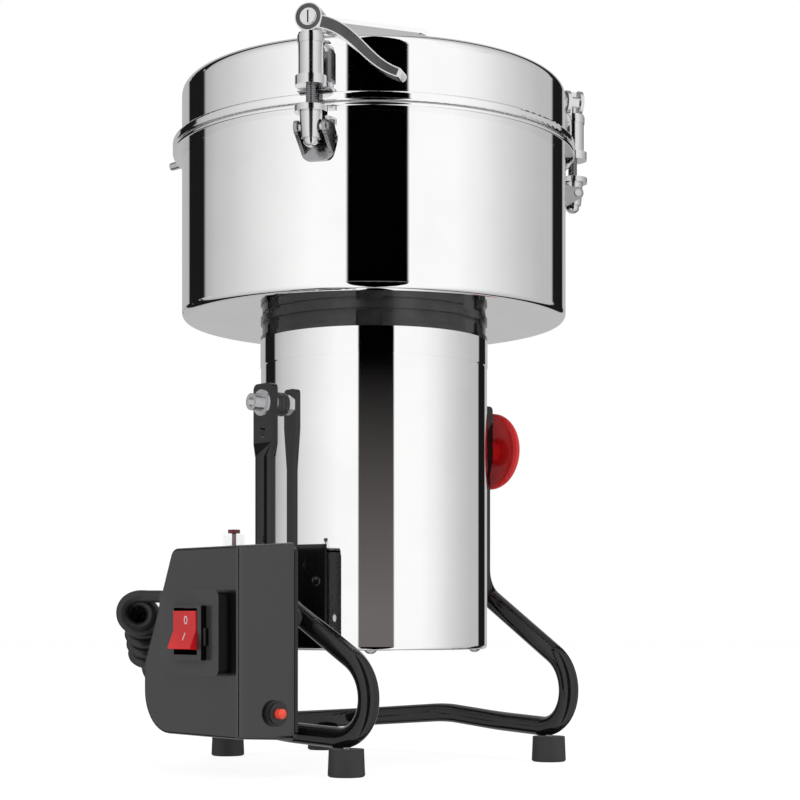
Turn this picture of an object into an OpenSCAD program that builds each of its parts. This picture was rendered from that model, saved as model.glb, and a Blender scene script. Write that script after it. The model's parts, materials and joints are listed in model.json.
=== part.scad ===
// Electric grain mill: a closed bowl on an upright motor, hung between the
// uprights of a bent tube stand so that it tips forward to empty.
// Millimetres. +Z up, -Y is the front, +X is the side of the locking knob.
// Origin: on the floor, under the motor's axis.

/* [Stand] */
// Outside diameter of the stand's tube
tube_d = 14; // [12:0.5:16]
// Wall of the stand's tube
tube_wall = 1.5; // [1:0.1:2.5]
// From the motor's axis to the middle of the left upright
left_upright_x = 106; // [105:0.5:108]
// From the motor's axis to the middle of the right upright
right_upright_x = 96; // [95.5:0.5:110]
// Fall of the legs from the uprights to the front loops, in degrees
loop_slope = 30.5; // [29:0.5:32]
// From the motor's axis forward to the middle of a foot at the front
front_foot_y = 82.5; // [78:0.5:86]
// From the middle plane to a foot at the front
front_foot_x = 94.5; // [90:0.5:100]
// From the motor's axis back to the rear bar
rear_bar_y = 114.5; // [110:0.5:130]
// From the middle plane to a foot at the rear
rear_foot_x = 46; // [30:1:50]
// Bend radius of the front loops, at the middle of the tube
loop_r = 28; // [26:0.5:29]
// How far the side rails arch up between their feet
rail_arch = 7; // [3:0.5:9]
// Thickness of the tube's flattened end
flat_t = 5.4; // [4.5:0.1:6.5]
// Width of the tube's flattened end
flat_w = 20; // [18:0.5:24]
// Diameter of a rubber foot
foot_d = 24.5; // [20:0.5:28]
// Height of a rubber foot
foot_h = 17; // [12:0.5:22]

/* [Swing] */
// Height of the pivot that the head swings on
pivot_z = 248; // [244:1:252]
// How far the pivot lies in front of the motor's axis
pivot_front = 11; // [7:0.5:12]
// Shank diameter of a pivot bolt
pivot_bolt_d = 7; // [6:0.5:8]
// From the pivot down to the hole of the locking knob
lock_drop = 20; // [19.5:0.5:22]
// Shank diameter of the locking knob's stud
lock_stud_d = 7; // [6:0.5:8]
// Diameter of the locking knob
lock_knob_d = 57; // [45:1:60]

/* [Motor] */
// Outside diameter of the motor's barrel
motor_d = 162; // [158:1:164]
// Height of the barrel's bottom above the floor
motor_z = 81; // [78:1:90]
// Height of the seam between the barrel and the top cap
motor_seam_z = 281; // [276:1:284]
// Height of the top cap's upper face
motor_top_z = 300; // [296:1:303]
// Wall of the barrel
motor_wall = 1.6; // [1:0.1:2.5]
// Shaft diameter
shaft_d = 12; // [10:0.5:15]

/* [Bowl and lid] */
// Outside diameter of the bowl
bowl_d = 274; // [262:1:276]
// Underside of the bowl
bowl_z = 314.5; // [313:0.5:318]
// Upper face of the bowl's rim
rim_z = 433.2; // [432.6:0.2:433.8]
// Wall of the bowl and of the lid
bowl_wall = 1.2; // [0.8:0.1:2]
// How far the rims stand out from the wall
rim_out = 6.5; // [5:0.5:7]
// Thickness of the bowl's rim
rim_t = 2.4; // [2:0.2:3]
// Height of the lid's rolled rim
lid_rim_h = 6.2; // [5:0.2:6.4]
// Height of the lid above the bowl's rim
lid_h = 47.2; // [45:0.5:50]
// Corner radius of the lid's top
lid_corner_r = 8; // [5:1:12]
// Thickness of the seal between the rims
seal_t = 0.5; // [0.3:0.1:1]

/* [Clamps] */
// Direction of the first clamp, in degrees from the front towards the knob side
clamp_azimuth = -56; // [-60:1:-50]
// From the bowl's wall out to the middle of a tie rod
rod_out = 15; // [14.5:0.5:17]
// Diameter of a tie rod
rod_d = 6; // [5:0.5:6.5]
// Height of the pin that a tie rod swings on
rod_pin_z = 415.5; // [415:0.5:416]
// Height of the pin that a cam lever turns on
cam_z = 484; // [483:0.2:486]
// Diameter of a cam lever's boss
cam_d = 18; // [16:0.2:18]
// Thickness of a cam lever
lever_t = 12; // [11:0.5:13]

/* [Control box] */
// Width of the box, across the machine
box_w = 45.9; // [44:0.5:50]
// Front face of the box, in front of the motor's axis
box_front = 59; // [56:0.5:61]
// Deepest point of the box, behind the motor's axis
box_rear = 48.5; // [46:0.5:52]
// Underside of the box
box_z = 26; // [24:0.5:30]
// Height of the box
box_h = 123; // [120:0.5:126]
// Wall of the box
box_wall = 1.5; // [1:0.1:2.5]
// Thickness of the plate behind the box
back_t = 2.5; // [2:0.1:3]
// Width of the rocker's key
rocker_w = 25; // [22:0.5:26]
// How far the rocker tips from one side to the other, in degrees
rocker_throw = 22; // [16:1:24]

/* [Curly lead] */
// Diameter of the lead
lead_d = 8.4; // [7:0.1:9]
// Outside diameter of its coil
coil_d = 28; // [25:0.5:30]

/* [Hidden] */
$fn = 64;
eps = 0.01;
gap = 0.3;             // between pieces that move past each other
run = 0.06;            // radial clearance of a pin in its bore

motor_r = motor_d / 2;
bowl_r = bowl_d / 2;
rod_r = bowl_r + rod_out;
rim_r = bowl_r + rim_out;

// ---------- small shared shapes ----------

function unit(v) = v / norm(v);
function turn_at(p, i) = acos(unit(p[i] - p[i - 1]) * unit(p[i + 1] - p[i]));
function cut_back(p, r, i) = (i == 0 || i == len(p) - 1) ? 0 : r[i] * tan(turn_at(p, i) / 2);

// A straight stretch of tube or rod from a to b; inner is its bore, or 0.
module rod_between(a, b, d, inner = 0) {
    v = b - a;
    translate(a)
        rotate([0, acos(v[2] / norm(v)), atan2(v[1], v[0])])
            difference() {
                cylinder(d = d, h = norm(v));
                if (inner > 0) translate([0, 0, -1]) cylinder(d = inner, h = norm(v) + 2);
            }
}

// A tube along the points p, with bend radius r[i] at each inner point.
// The straights are a hair slimmer than the bends and run a little way into them.
module bent_tube(p, r, d, inner = 0) {
    slim = 0.04;
    into = 0.5;
    for (i = [0 : len(p) - 2]) {
        u = unit(p[i + 1] - p[i]);
        from = i == 0 ? 0 : into;
        to = i == len(p) - 2 ? 0 : into;
        rod_between(
            p[i] + u * (cut_back(p, r, i) - from), p[i + 1] - u * (cut_back(p, r, i + 1) - to),
            d - slim, inner > 0 ? inner + slim : 0
        );
    }
    for (i = [1 : len(p) - 2]) {
        u = unit(p[i] - p[i - 1]);
        w = unit(p[i + 1] - p[i]);
        n = unit(w - u * (w * u));
        k = cross(u, n);
        c = p[i] - u * cut_back(p, r, i) + n * r[i];
        multmatrix([
            [-n[0], u[0], k[0], c[0]],
            [-n[1], u[1], k[1], c[1]],
            [-n[2], u[2], k[2], c[2]],
            [0, 0, 0, 1]
        ])
            rotate_extrude(angle = turn_at(p, i))
                translate([r[i], 0])
                    difference() {
                        circle(d = d);
                        if (inner > 0) circle(d = inner);
                    }
    }
}

// The centre of a rounded corner and the two points where its arc begins and ends.
function corner(p, r, i) = let(
    n = len(p), a = unit(p[(i + n - 1) % n] - p[i]), b = unit(p[(i + 1) % n] - p[i]), half = acos(a * b) / 2)
    [p[i] + unit(a + b) * r[i] / sin(half), p[i] + a * r[i] / tan(half), p[i] + b * r[i] / tan(half)];
// A convex outline with each corner rounded by its own radius.
module rounded(p, r) {
    polygon([for (i = [0 : len(p) - 1], k = [1, 2]) corner(p, r, i)[k]]);
    for (i = [0 : len(p) - 1]) translate(corner(p, r, i)[0]) circle(r = r[i]);
}
// The same outline moved inwards by t; the points run counterclockwise.
function inset(p, t) = [
    for (i = [0 : len(p) - 1])
        let(n = len(p), e0 = unit(p[i] - p[(i + n - 1) % n]), e1 = unit(p[(i + 1) % n] - p[i]),
            n0 = [-e0[1], e0[0]], n1 = [-e1[1], e1[0]])
        p[i] + (n0 + n1) * t / (1 + n0 * n1)
];

// Puts its children on both sides of the machine.
module both_sides() {
    children();
    mirror([1, 0, 0]) children();
}

// Turns its children from the front to a direction around the bowl's axis.
module towards(azimuth) {
    rotate([0, 0, azimuth]) children();
}

module ring(r_out, r_in, h) {
    difference() {
        cylinder(r = r_out, h = h);
        translate([0, 0, -1]) cylinder(r = r_in, h = h + 2);
    }
}

// A cylinder along +X.
module x_cylinder(r, h) {
    rotate([0, 90, 0]) cylinder(r = r, h = h);
}

// A cylinder along -Y, outwards from the front.
module front_cylinder(r, h) {
    rotate([90, 0, 0]) cylinder(r = r, h = h);
}

// A hexagon bar of a given width across its flats.
module hex(across, h) {
    cylinder(d = across / cos(30), h = h, $fn = 6);
}

// ---------- stand ----------

pivot_y = -pivot_front;
flat_top_z = pivot_z + 13;          // top of the flattened end
flat_low_z = pivot_z - lock_drop - 7.5;
round_top_z = flat_low_z - 9;       // where the tube is round again
tube_z = foot_h + tube_d / 2;       // middle of the tube over a foot
// Each front loop turns round a corner that lies ahead of it, where leg and rail would meet.
corner_y = -(front_foot_y + loop_r / tan(loop_slope / 2));
corner_z = tube_z - 2.5;
knee_z = corner_z + (pivot_y - corner_y) * tan(loop_slope);

// One side of the stand's tube, from the top of the upright down, round the loop and back.
function side_points(upright) = [
    [upright, pivot_y, round_top_z + 0.5],
    [upright, pivot_y, knee_z],
    [front_foot_x - 8, corner_y, corner_z],
    [front_foot_x + 4.5, -27, tube_z + rail_arch * 0.36],
    [front_foot_x + 2.5, 28, tube_z + rail_arch],
    [rear_foot_x + 27, rear_bar_y, tube_z]
];
side_radii = [0, 26, loop_r, 150, 80, 42];
function to_left(p) = [-p[0], p[1], p[2]];
right_points = side_points(right_upright_x);
left_points = [for (p = side_points(left_upright_x)) to_left(p)];
frame_points = concat(right_points, [for (i = [len(left_points) - 1 : -1 : 0]) left_points[i]]);
frame_radii = concat(side_radii, [for (i = [len(side_radii) - 1 : -1 : 0]) side_radii[i]]);
front_rail = right_points[3] - right_points[2];
front_foot = right_points[2] + front_rail * (-front_foot_y - corner_y) / front_rail[1];
foot_places = [front_foot, to_left(front_foot), [rear_foot_x, rear_bar_y, tube_z], [-rear_foot_x, rear_bar_y, tube_z]];
foot_screw_d = 5;
leg_u = unit(left_points[2] - left_points[1]);
box_boss_places = [[-left_upright_x, pivot_y, knee_z + 16], left_points[1] + leg_u * 42];
box_back_x = 116;                   // outer face of the bosses that carry the control box

// The flat end of the tube, seen from the side, from its lower edge up.
module flat_end_outline() {
    h = flat_top_z - flat_low_z;
    r = 4;
    translate([-flat_w / 2, 0]) square([flat_w, h - r]);
    translate([-flat_w / 2 + r, 0]) square([flat_w - 2 * r, h]);
    for (s = [-1, 1]) translate([s * (flat_w / 2 - r), h - r]) circle(r = r);
}

module flat_end(upright) {
    difference() {
        union() {
            translate([upright - flat_t / 2, pivot_y, flat_low_z])
                rotate([90, 0, 90]) linear_extrude(flat_t) flat_end_outline();
            hull() {
                translate([upright, pivot_y, round_top_z]) cylinder(d = tube_d + 0.2, h = 1, $fn = 32);
                translate([upright - flat_t / 2, pivot_y - flat_w / 2, flat_low_z]) cube([flat_t, flat_w, 0.5]);
            }
        }
        translate([upright - flat_t, pivot_y, pivot_z]) x_cylinder(pivot_bolt_d / 2 + 0.1, 2 * flat_t);
        translate([upright - flat_t, pivot_y, pivot_z - lock_drop]) x_cylinder(lock_stud_d / 2 + run, 2 * flat_t);
    }
}

module tube_frame() {
    color([0.06, 0.06, 0.065])
        difference() {
            union() {
                bent_tube(frame_points, frame_radii, tube_d, tube_d - 2 * tube_wall);
                flat_end(right_upright_x);
                mirror([1, 0, 0]) flat_end(left_upright_x);
                for (p = box_boss_places)
                    translate([-box_back_x, p[1], p[2]])
                        x_cylinder(6, box_back_x + p[0] - tube_d / 2 + tube_wall * 0.8);
            }
            for (p = foot_places) translate([p[0], p[1], 0]) cylinder(d = foot_screw_d + 0.2, h = tube_z);
            for (p = box_boss_places) translate([-box_back_x - 1, p[1], p[2]]) x_cylinder(2.6, 9);
        }
}

// Each foot has a groove on top that the tube lies in.
module rubber_feet() {
    color([0.05, 0.05, 0.05])
        for (i = [0 : 3])
            difference() {
                translate([foot_places[i][0], foot_places[i][1], 0]) {
                    translate([0, 0, 1]) cylinder(d1 = foot_d, d2 = foot_d - 1.4, h = foot_h);
                    cylinder(d1 = foot_d - 2, d2 = foot_d, h = 1);
                }
                bent_tube(frame_points, frame_radii, tube_d + 0.1);
                translate([foot_places[i][0], foot_places[i][1], -1]) {
                    cylinder(d = foot_screw_d + 0.2, h = foot_h + 6);
                    cylinder(d = foot_screw_d * 2.2, h = 6);
                }
            }
}

module foot_screws() {
    color([0.7, 0.7, 0.72])
        for (p = foot_places)
            translate([p[0], p[1], 2]) {
                cylinder(d = foot_screw_d * 2, h = 3);
                cylinder(d = foot_screw_d, h = tube_z - 3);
            }
}

// ---------- pivots ----------

arm_t = 4;
arm_inner_x = motor_r + 0.2;
arm_outer_x = arm_inner_x + arm_t;
washer_t = 1.5;
pivot_nut_t = 5;
low_head_h = 3.6;                   // the right bolt's head, under the knob
tall_head_h = 8;

module pivot_bolt(upright, head_h) {
    outer_x = upright + flat_t / 2 + washer_t;
    translate([arm_inner_x + 0.3, pivot_y, pivot_z]) x_cylinder(pivot_bolt_d / 2, outer_x - arm_inner_x - 0.3);
    translate([outer_x, pivot_y, pivot_z])
        rotate([0, 90, 0]) difference() {
            cylinder(r = 5.8, h = head_h);
            translate([0, 0, head_h * 0.4]) hex(6, head_h);
        }
}

module pivot_bolts() {
    color([0.75, 0.75, 0.77]) {
        mirror([1, 0, 0]) pivot_bolt(left_upright_x, tall_head_h);
        pivot_bolt(right_upright_x, low_head_h);
    }
}

// A washer on each face of the flattened end, and a nut that holds the arm's side.
module pivot_stack(upright) {
    for (x = [upright + flat_t / 2, upright - flat_t / 2 - washer_t])
        translate([x, pivot_y, pivot_z]) rotate([0, 90, 0]) ring(8.8, pivot_bolt_d / 2, washer_t);
    translate([arm_outer_x + gap, pivot_y, pivot_z])
        rotate([0, 90, 0])
            difference() {
                hex(12, pivot_nut_t);
                translate([0, 0, -1]) cylinder(d = pivot_bolt_d, h = pivot_nut_t + 2);
            }
}

module pivot_washers() {
    color([0.8, 0.8, 0.82]) {
        pivot_stack(right_upright_x);
        mirror([1, 0, 0]) pivot_stack(left_upright_x);
    }
}

// A nylon spacer with grips turned into it, between the nut and the flattened end.
module pivot_spacer(upright) {
    from = arm_outer_x + gap + pivot_nut_t;
    len_x = upright - flat_t / 2 - washer_t - from;
    ribs = 3;
    pitch = len_x / ribs;
    translate([from, pivot_y, pivot_z])
        rotate([0, 90, 0])
            difference() {
                union() {
                    cylinder(r = 6.8, h = len_x);
                    for (i = [0 : ribs - 1]) translate([0, 0, pitch * (i + 0.2)]) cylinder(r = 8, h = pitch * 0.6);
                }
                translate([0, 0, -1]) cylinder(d = pivot_bolt_d, h = len_x + 2);
            }
}

module pivot_spacers() {
    color([0.2, 0.2, 0.21]) {
        pivot_spacer(right_upright_x);
        mirror([1, 0, 0]) pivot_spacer(left_upright_x);
    }
}

saddle_half = 26;                   // half of the angle that a saddle covers
saddle_t = 3;
saddle_low_z = motor_z + 2;
saddle_top_z = motor_z + 72;
rivet_z = [motor_z + 13, motor_z + 47];
rivet_angle = 21.5;
rivet_r = 2;
eye_w = 13;
bar_w = 7;

// The outline of an arm, from the saddle up to its rounded eye.
module arm_outline() {
    top = pivot_z + 11;
    r = 3;
    neck = pivot_z - 44;
    polygon([
        [-bar_w / 2, saddle_low_z + 4], [bar_w / 2, saddle_low_z + 4], [bar_w / 2, neck],
        [eye_w / 2, pivot_z - 16], [eye_w / 2, top - r], [-eye_w / 2, top - r],
        [-eye_w / 2, pivot_z - 16], [-bar_w / 2, neck]
    ]);
    translate([-eye_w / 2 + r, top - r - 1]) square([eye_w - 2 * r, r + 1]);
    for (s = [-1, 1]) translate([s * (eye_w / 2 - r), top - r]) circle(r = r);
}

module pivot_arm() {
    difference() {
        union() {
            translate([arm_inner_x, pivot_y, 0]) rotate([90, 0, 90]) linear_extrude(arm_t) arm_outline();
            translate([0, 0, saddle_low_z])
                rotate([0, 0, -saddle_half])
                    rotate_extrude(angle = 2 * saddle_half)
                        translate([motor_r, 0]) square([saddle_t, saddle_top_z - saddle_low_z]);
        }
        cylinder(r = motor_r, h = pivot_z + 20);
        translate([arm_inner_x - 1, pivot_y, pivot_z]) x_cylinder(pivot_bolt_d / 2 + run, arm_t + 2);
        for (z = rivet_z, s = [-1, 1])
            rotate([0, 0, s * rivet_angle]) translate([motor_r - 1, 0, z]) x_cylinder(rivet_r, saddle_t + 2);
    }
}

module pivot_arm_right() {
    color([0.08, 0.08, 0.085]) pivot_arm();
}

module pivot_arm_left() {
    color([0.08, 0.08, 0.085]) mirror([1, 0, 0]) pivot_arm();
}

module saddle_rivets() {
    color([0.2, 0.2, 0.21])
        both_sides()
            for (z = rivet_z, s = [-1, 1])
                rotate([0, 0, s * rivet_angle]) translate([motor_r - motor_wall - 2, 0, z]) {
                    x_cylinder(rivet_r, motor_wall + 2 + saddle_t + 0.2);
                    translate([motor_wall + 2 + saddle_t, 0, 0])
                        rotate([0, 90, 0])
                            rotate_extrude()
                                intersection() {
                                    translate([0, -2.4]) circle(r = 4);
                                    square([3.2, 1.6]);
                                }
                }
}

// ---------- locking knob ----------

knob_x = right_upright_x + flat_t / 2 + gap;  // inner face of the knob's hub
knob_y = pivot_y;
knob_z = pivot_z - lock_drop;

module lock_stud() {
    color([0.72, 0.72, 0.74])
        translate([arm_outer_x + gap, knob_y, knob_z])
            x_cylinder(lock_stud_d / 2, knob_x + 14 - arm_outer_x - gap);
}

// A dished hand wheel: hub, thin web, rim, and raised ribs between them.
module lock_knob() {
    r = lock_knob_d / 2;
    color([0.72, 0.03, 0.05])
        translate([knob_x, knob_y, knob_z])
            rotate([0, 90, 0]) {
                difference() {
                    union() {
                        rotate_extrude()
                            difference() {
                                union() {
                                    square([7, 16]);
                                    translate([0, 1.6]) square([9, 14.4]);
                                    polygon([[8, 8.5], [r - 6, 5.6], [r - 2, 5.6], [r - 2, 9.4], [r - 8, 9.4], [8, 12.5]]);
                                    translate([r - 3, 8.2]) circle(r = 3);
                                }
                                translate([-20, -1]) square([20, 30]);
                            }
                        for (i = [0 : 11])
                            rotate([0, 0, i * 30])
                                translate([8, -0.9, 9]) cube([r - 12, 1.8, 3.6]);
                    }
                    translate([0, 0, -1]) cylinder(d = lock_stud_d, h = 15);
                }
            }
}

// ---------- motor shell ----------

cap_r = motor_r + 0.4;
neck_r = motor_r - 4;
bottom_cap_t = 3;
bearing_r = 16;
bearing_h = 10;
lower_bearing_z = motor_z + 8;
upper_bearing_z = motor_top_z - 14;
screw_azimuth = -42.6;              // of the first of four screws under the motor
bottom_screw_places = [
    for (i = [0 : 3]) (motor_r - 9) * [sin(i * 90 + screw_azimuth), -cos(i * 90 + screw_azimuth)]
];
wall_clear = 0.02;

module motor_barrel() {
    color([0.82, 0.83, 0.85])
        difference() {
            translate([0, 0, motor_z + bottom_cap_t])
                ring(motor_r, motor_r - motor_wall, motor_seam_z - motor_z - bottom_cap_t);
            for (k = [-1, 1], z = rivet_z, s = [-1, 1])
                rotate([0, 0, (k < 0 ? 180 : 0) + s * rivet_angle])
                    translate([motor_r - 5, 0, z]) x_cylinder(rivet_r, 8);
            towards(gland_azimuth) translate([0, -motor_r + 5, motor_gland_z]) front_cylinder(5.2, 10);
        }
}

module motor_bottom_cap() {
    color([0.7, 0.71, 0.73])
        difference() {
            translate([0, 0, motor_z]) {
                rotate_extrude() {
                    square([motor_r - 2.5, bottom_cap_t]);
                    translate([0, 2.5]) square([motor_r, bottom_cap_t - 2.5]);
                    intersection() {
                        translate([motor_r - 2.5, 2.5]) circle(r = 2.5);
                        translate([motor_r - 2.5, 0]) square([2.5, 2.5]);
                    }
                }
                ring(motor_r - motor_wall - wall_clear, motor_r - motor_wall - 2.5, 10);
                cylinder(r = bearing_r + 4, h = lower_bearing_z + bearing_h - motor_z);
            }
            for (i = [0 : 11])
                rotate([0, 0, i * 30]) translate([48, 0, motor_z - 1]) cylinder(r = 5, h = 3 + bottom_cap_t);
            for (p = bottom_screw_places) translate([p[0], p[1], motor_z - 1]) cylinder(r = 2.1, h = 6);
            translate([0, 0, lower_bearing_z]) cylinder(r = bearing_r, h = bearing_h + 1);
            translate([0, 0, motor_z + bottom_cap_t]) cylinder(r = bearing_r - 4, h = bearing_h);
        }
}

module bottom_screws() {
    color([0.75, 0.75, 0.77])
        for (p = bottom_screw_places)
            translate([p[0], p[1], motor_z]) {
                cylinder(r = 2, h = 4.5);
                difference() {
                    rotate([180, 0, 0])
                        rotate_extrude()
                            intersection() {
                                translate([0, -2.6]) circle(r = 5.2);
                                square([4.5, 3]);
                            }
                    translate([-3.2, -0.5, -4]) cube([6.4, 1, 2.4]);
                    translate([-0.5, -3.2, -4]) cube([1, 6.4, 2.4]);
                }
            }
}

module motor_top_cap() {
    lip = 0.8;                      // the shadow line over the barrel
    top_t = 4;
    color([0.8, 0.81, 0.83])
        difference() {
            union() {
                translate([0, 0, motor_seam_z]) cylinder(r = motor_r - 0.9, h = lip);
                translate([0, 0, motor_seam_z + lip]) cylinder(r = cap_r, h = motor_top_z - motor_seam_z - lip);
                translate([0, 0, motor_seam_z - 8]) cylinder(r = motor_r - motor_wall - wall_clear, h = 9);
                translate([0, 0, motor_top_z - 1]) cylinder(r = neck_r, h = bowl_z - motor_top_z + 1);
            }
            translate([0, 0, motor_top_z]) cylinder(r = neck_r - 12, h = 30);
            translate([0, 0, motor_seam_z - 9])
                difference() {
                    cylinder(r = motor_r - motor_wall - 3, h = motor_top_z - top_t - motor_seam_z + 9);
                    translate([0, 0, upper_bearing_z - motor_seam_z + 9]) cylinder(r = bearing_r + 5, h = 30);
                }
            translate([0, 0, upper_bearing_z - 1]) cylinder(r = bearing_r, h = bearing_h + 1);
            translate([0, 0, upper_bearing_z]) cylinder(r = bearing_r - 4, h = 30);
        }
}

// ---------- neck between the motor and the bowl ----------

// A cast ring that grips the neck: a thin ring at the top and six lugs below it with open slots between.
module bowl_adapter() {
    lugs = 6;
    slot_w = 18;
    slot_azimuth = -43;
    slot_wall = 1.2;                // left behind a slot
    ring_t = 2.4;
    foot_t = 3;
    step_h = 2.8;                   // the deeper step, under the top ring
    outer_r = motor_r + 0.2;
    h = bowl_z - motor_top_z;
    color([0.1, 0.1, 0.105])
        translate([0, 0, motor_top_z])
            difference() {
                rotate_extrude() {
                    translate([neck_r, 0]) square([outer_r - neck_r, foot_t]);
                    translate([neck_r, foot_t]) square([outer_r - neck_r - 1.2, h - ring_t - step_h - foot_t]);
                    translate([neck_r, h - ring_t - step_h]) square([outer_r - neck_r - 2.2, step_h]);
                    translate([neck_r, h - ring_t]) square([outer_r - neck_r, ring_t]);
                }
                for (i = [0 : lugs - 1])
                    rotate([0, 0, slot_azimuth + i * 360 / lugs])
                        translate([-slot_w / 2, -outer_r - 4, -1])
                            cube([slot_w, outer_r + 4 - neck_r - slot_wall, h - ring_t]);
            }
}

// ---------- bowl ----------

bowl_corner_r = 5;
bowl_floor = 2;
shaft_hole_r = shaft_d / 2 + 2;

module bowl() {
    color([0.85, 0.86, 0.88])
        translate([0, 0, bowl_z])
            rotate_extrude() {
                h = rim_z - bowl_z;
                difference() {
                    union() {
                        translate([shaft_hole_r, 0]) square([bowl_r - bowl_corner_r - shaft_hole_r, bowl_floor]);
                        intersection() {
                            translate([bowl_r - bowl_corner_r, bowl_corner_r]) circle(r = bowl_corner_r);
                            translate([bowl_r - bowl_corner_r, 0]) square([bowl_corner_r, bowl_corner_r]);
                        }
                        translate([bowl_r - bowl_wall, bowl_corner_r]) square([bowl_wall, h - bowl_corner_r]);
                        translate([bowl_r - bowl_wall, h - rim_t]) square([rim_out + bowl_wall - rim_t / 2, rim_t]);
                        translate([rim_r - rim_t / 2, h - rim_t / 2]) circle(d = rim_t);
                    }
                    intersection() {
                        translate([bowl_r - bowl_corner_r, bowl_corner_r]) circle(r = bowl_corner_r - bowl_wall);
                        translate([bowl_r - bowl_corner_r, 0]) square([bowl_corner_r, bowl_corner_r]);
                    }
                    translate([bowl_r - bowl_corner_r - 1, bowl_floor]) square([1 + eps, bowl_corner_r]);
                }
                // the boss that holds the shaft's seal
                translate([shaft_hole_r, 0]) square([8, 9]);
            }
}

// ---------- lid ----------

lid_rim_z = rim_z + gap + seal_t;
lid_top_z = rim_z + lid_h;
spigot_h = 6;

module lid_shell() {
    color([0.85, 0.86, 0.88])
        difference() {
            translate([0, 0, lid_rim_z]) rotate_extrude() lid_profile();
            rotate([0, 0, handle_azimuth])
                for (s = [-1, 1])
                    translate([s * handle_screw_x, 0, lid_top_z - 5]) cylinder(r = handle_screw_r + 0.1, h = 10);
        }
}

// Half of the lid's section; x is outwards from the axis, y is up from the rim's underside.
module lid_profile() {
    h = lid_top_z - lid_rim_z;
    r = lid_corner_r;
    edge_r = 1.7;
    difference() {
        union() {
            translate([bowl_r - bowl_wall, 0]) square([rim_out + bowl_wall - edge_r, lid_rim_h]);
            translate([rim_r - edge_r - eps, edge_r]) square([edge_r + eps, lid_rim_h - 2 * edge_r]);
            for (y = [edge_r, lid_rim_h - edge_r]) translate([rim_r - edge_r, y]) circle(r = edge_r);
            translate([bowl_r - bowl_wall, 0]) square([bowl_wall, h - r]);
            intersection() {
                translate([bowl_r - r, h - r]) circle(r = r);
                translate([bowl_r - r, h - r]) square([r, r]);
            }
            translate([0, h - bowl_wall]) square([bowl_r - r, bowl_wall]);
        }
        intersection() {
            translate([bowl_r - r, h - r]) circle(r = r - bowl_wall);
            translate([bowl_r - r, h - r]) square([r, r]);
        }
    }
    // the spigot that centres the lid in the bowl
    translate([bowl_r - bowl_wall - 2.3, -spigot_h]) square([1.5, spigot_h + 3]);
    translate([bowl_r - bowl_wall - 2.3, 0]) square([2.3 + eps, 3]);
}

module lid_seal() {
    color([0.9, 0.9, 0.88])
        translate([0, 0, rim_z + gap]) ring(rim_r - 2, bowl_r - bowl_wall, seal_t);
}

handle_azimuth = -20;
handle_len = 84;
handle_h = 47;
handle_t = 3.2;
handle_w = 18;
handle_screw_x = handle_len / 2 - 10;
handle_screw_r = 2.5;

// A bent strap: two feet, two legs and a flat grip, with bent corners.
module lid_handle() {
    r = 9;
    half = handle_len / 2;
    color([0.12, 0.12, 0.125])
        translate([0, 0, lid_top_z])
            rotate([0, 0, handle_azimuth])
                difference() {
                    translate([0, handle_w / 2, 0])
                        rotate([90, 0, 0])
                            linear_extrude(handle_w)
                                for (s = [0, 1])
                                    mirror([s, 0]) {
                                        translate([0, handle_h - handle_t]) square([half - r, handle_t]);
                                        intersection() {
                                            translate([half - r, handle_h - r])
                                                difference() {
                                                    circle(r = r);
                                                    circle(r = r - handle_t);
                                                }
                                            translate([half - r, handle_h - r]) square([r, r]);
                                        }
                                        translate([half - handle_t, 0]) square([handle_t, handle_h - r]);
                                        translate([half - 18, 0]) square([18, handle_t]);
                                    }
                    for (s = [-1, 1]) translate([s * handle_screw_x, 0, -1]) cylinder(r = handle_screw_r + 0.1, h = handle_t + 2);
                }
}

module handle_screws() {
    color([0.75, 0.75, 0.77])
        rotate([0, 0, handle_azimuth])
            for (s = [-1, 1])
                translate([s * handle_screw_x, 0, lid_top_z - bowl_wall - 4]) {
                    cylinder(r = 4.4, h = 4);
                    cylinder(r = handle_screw_r, h = 4 + bowl_wall + handle_t + 1);
                    translate([0, 0, 4 + bowl_wall + handle_t]) cylinder(r1 = 4.6, r2 = 3.6, h = 2.4);
                }
}

// ---------- clamps ----------

clamp_azimuths = [for (i = [0 : 2]) clamp_azimuth + 120 * i];
cheek_inner = 8.2;
cheek_t = 2.4;
cheek_r = 4.6;
bracket_half = 11;                  // half of a bracket's width
bracket_t = 1.6;                    // its plate, against the wall
cross_pin_r = 4.8;                  // the pin that a cam lever turns on
pad_t = 0.8;                        // pads on the lid's rim that the sleeves press on
sleeve_seat_z = lid_rim_z + lid_rim_h + pad_t;
flange_z = sleeve_seat_z + gap;
flange_top_z = flange_z + 5.9;
collar_z = flange_z + 27;
collar_top_z = cam_z - cam_d / 2 - 0.25;
barrel_top_z = rod_pin_z + 8.9;

// The space inside the walls of the bowl and the lid.
module bowl_space() {
    cylinder(r = bowl_r, h = lid_top_z + 10, $fn = 240);
}

// One side of a bowl bracket, seen along its pin; x is outwards, y is up.
module cheek_outline() {
    back = rod_r - bowl_r + 1;
    circle(r = cheek_r);
    polygon([[-back, -15], [-back, 6], [-2, cheek_r - 0.4], [3.2, -3.2]]);
}

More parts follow.
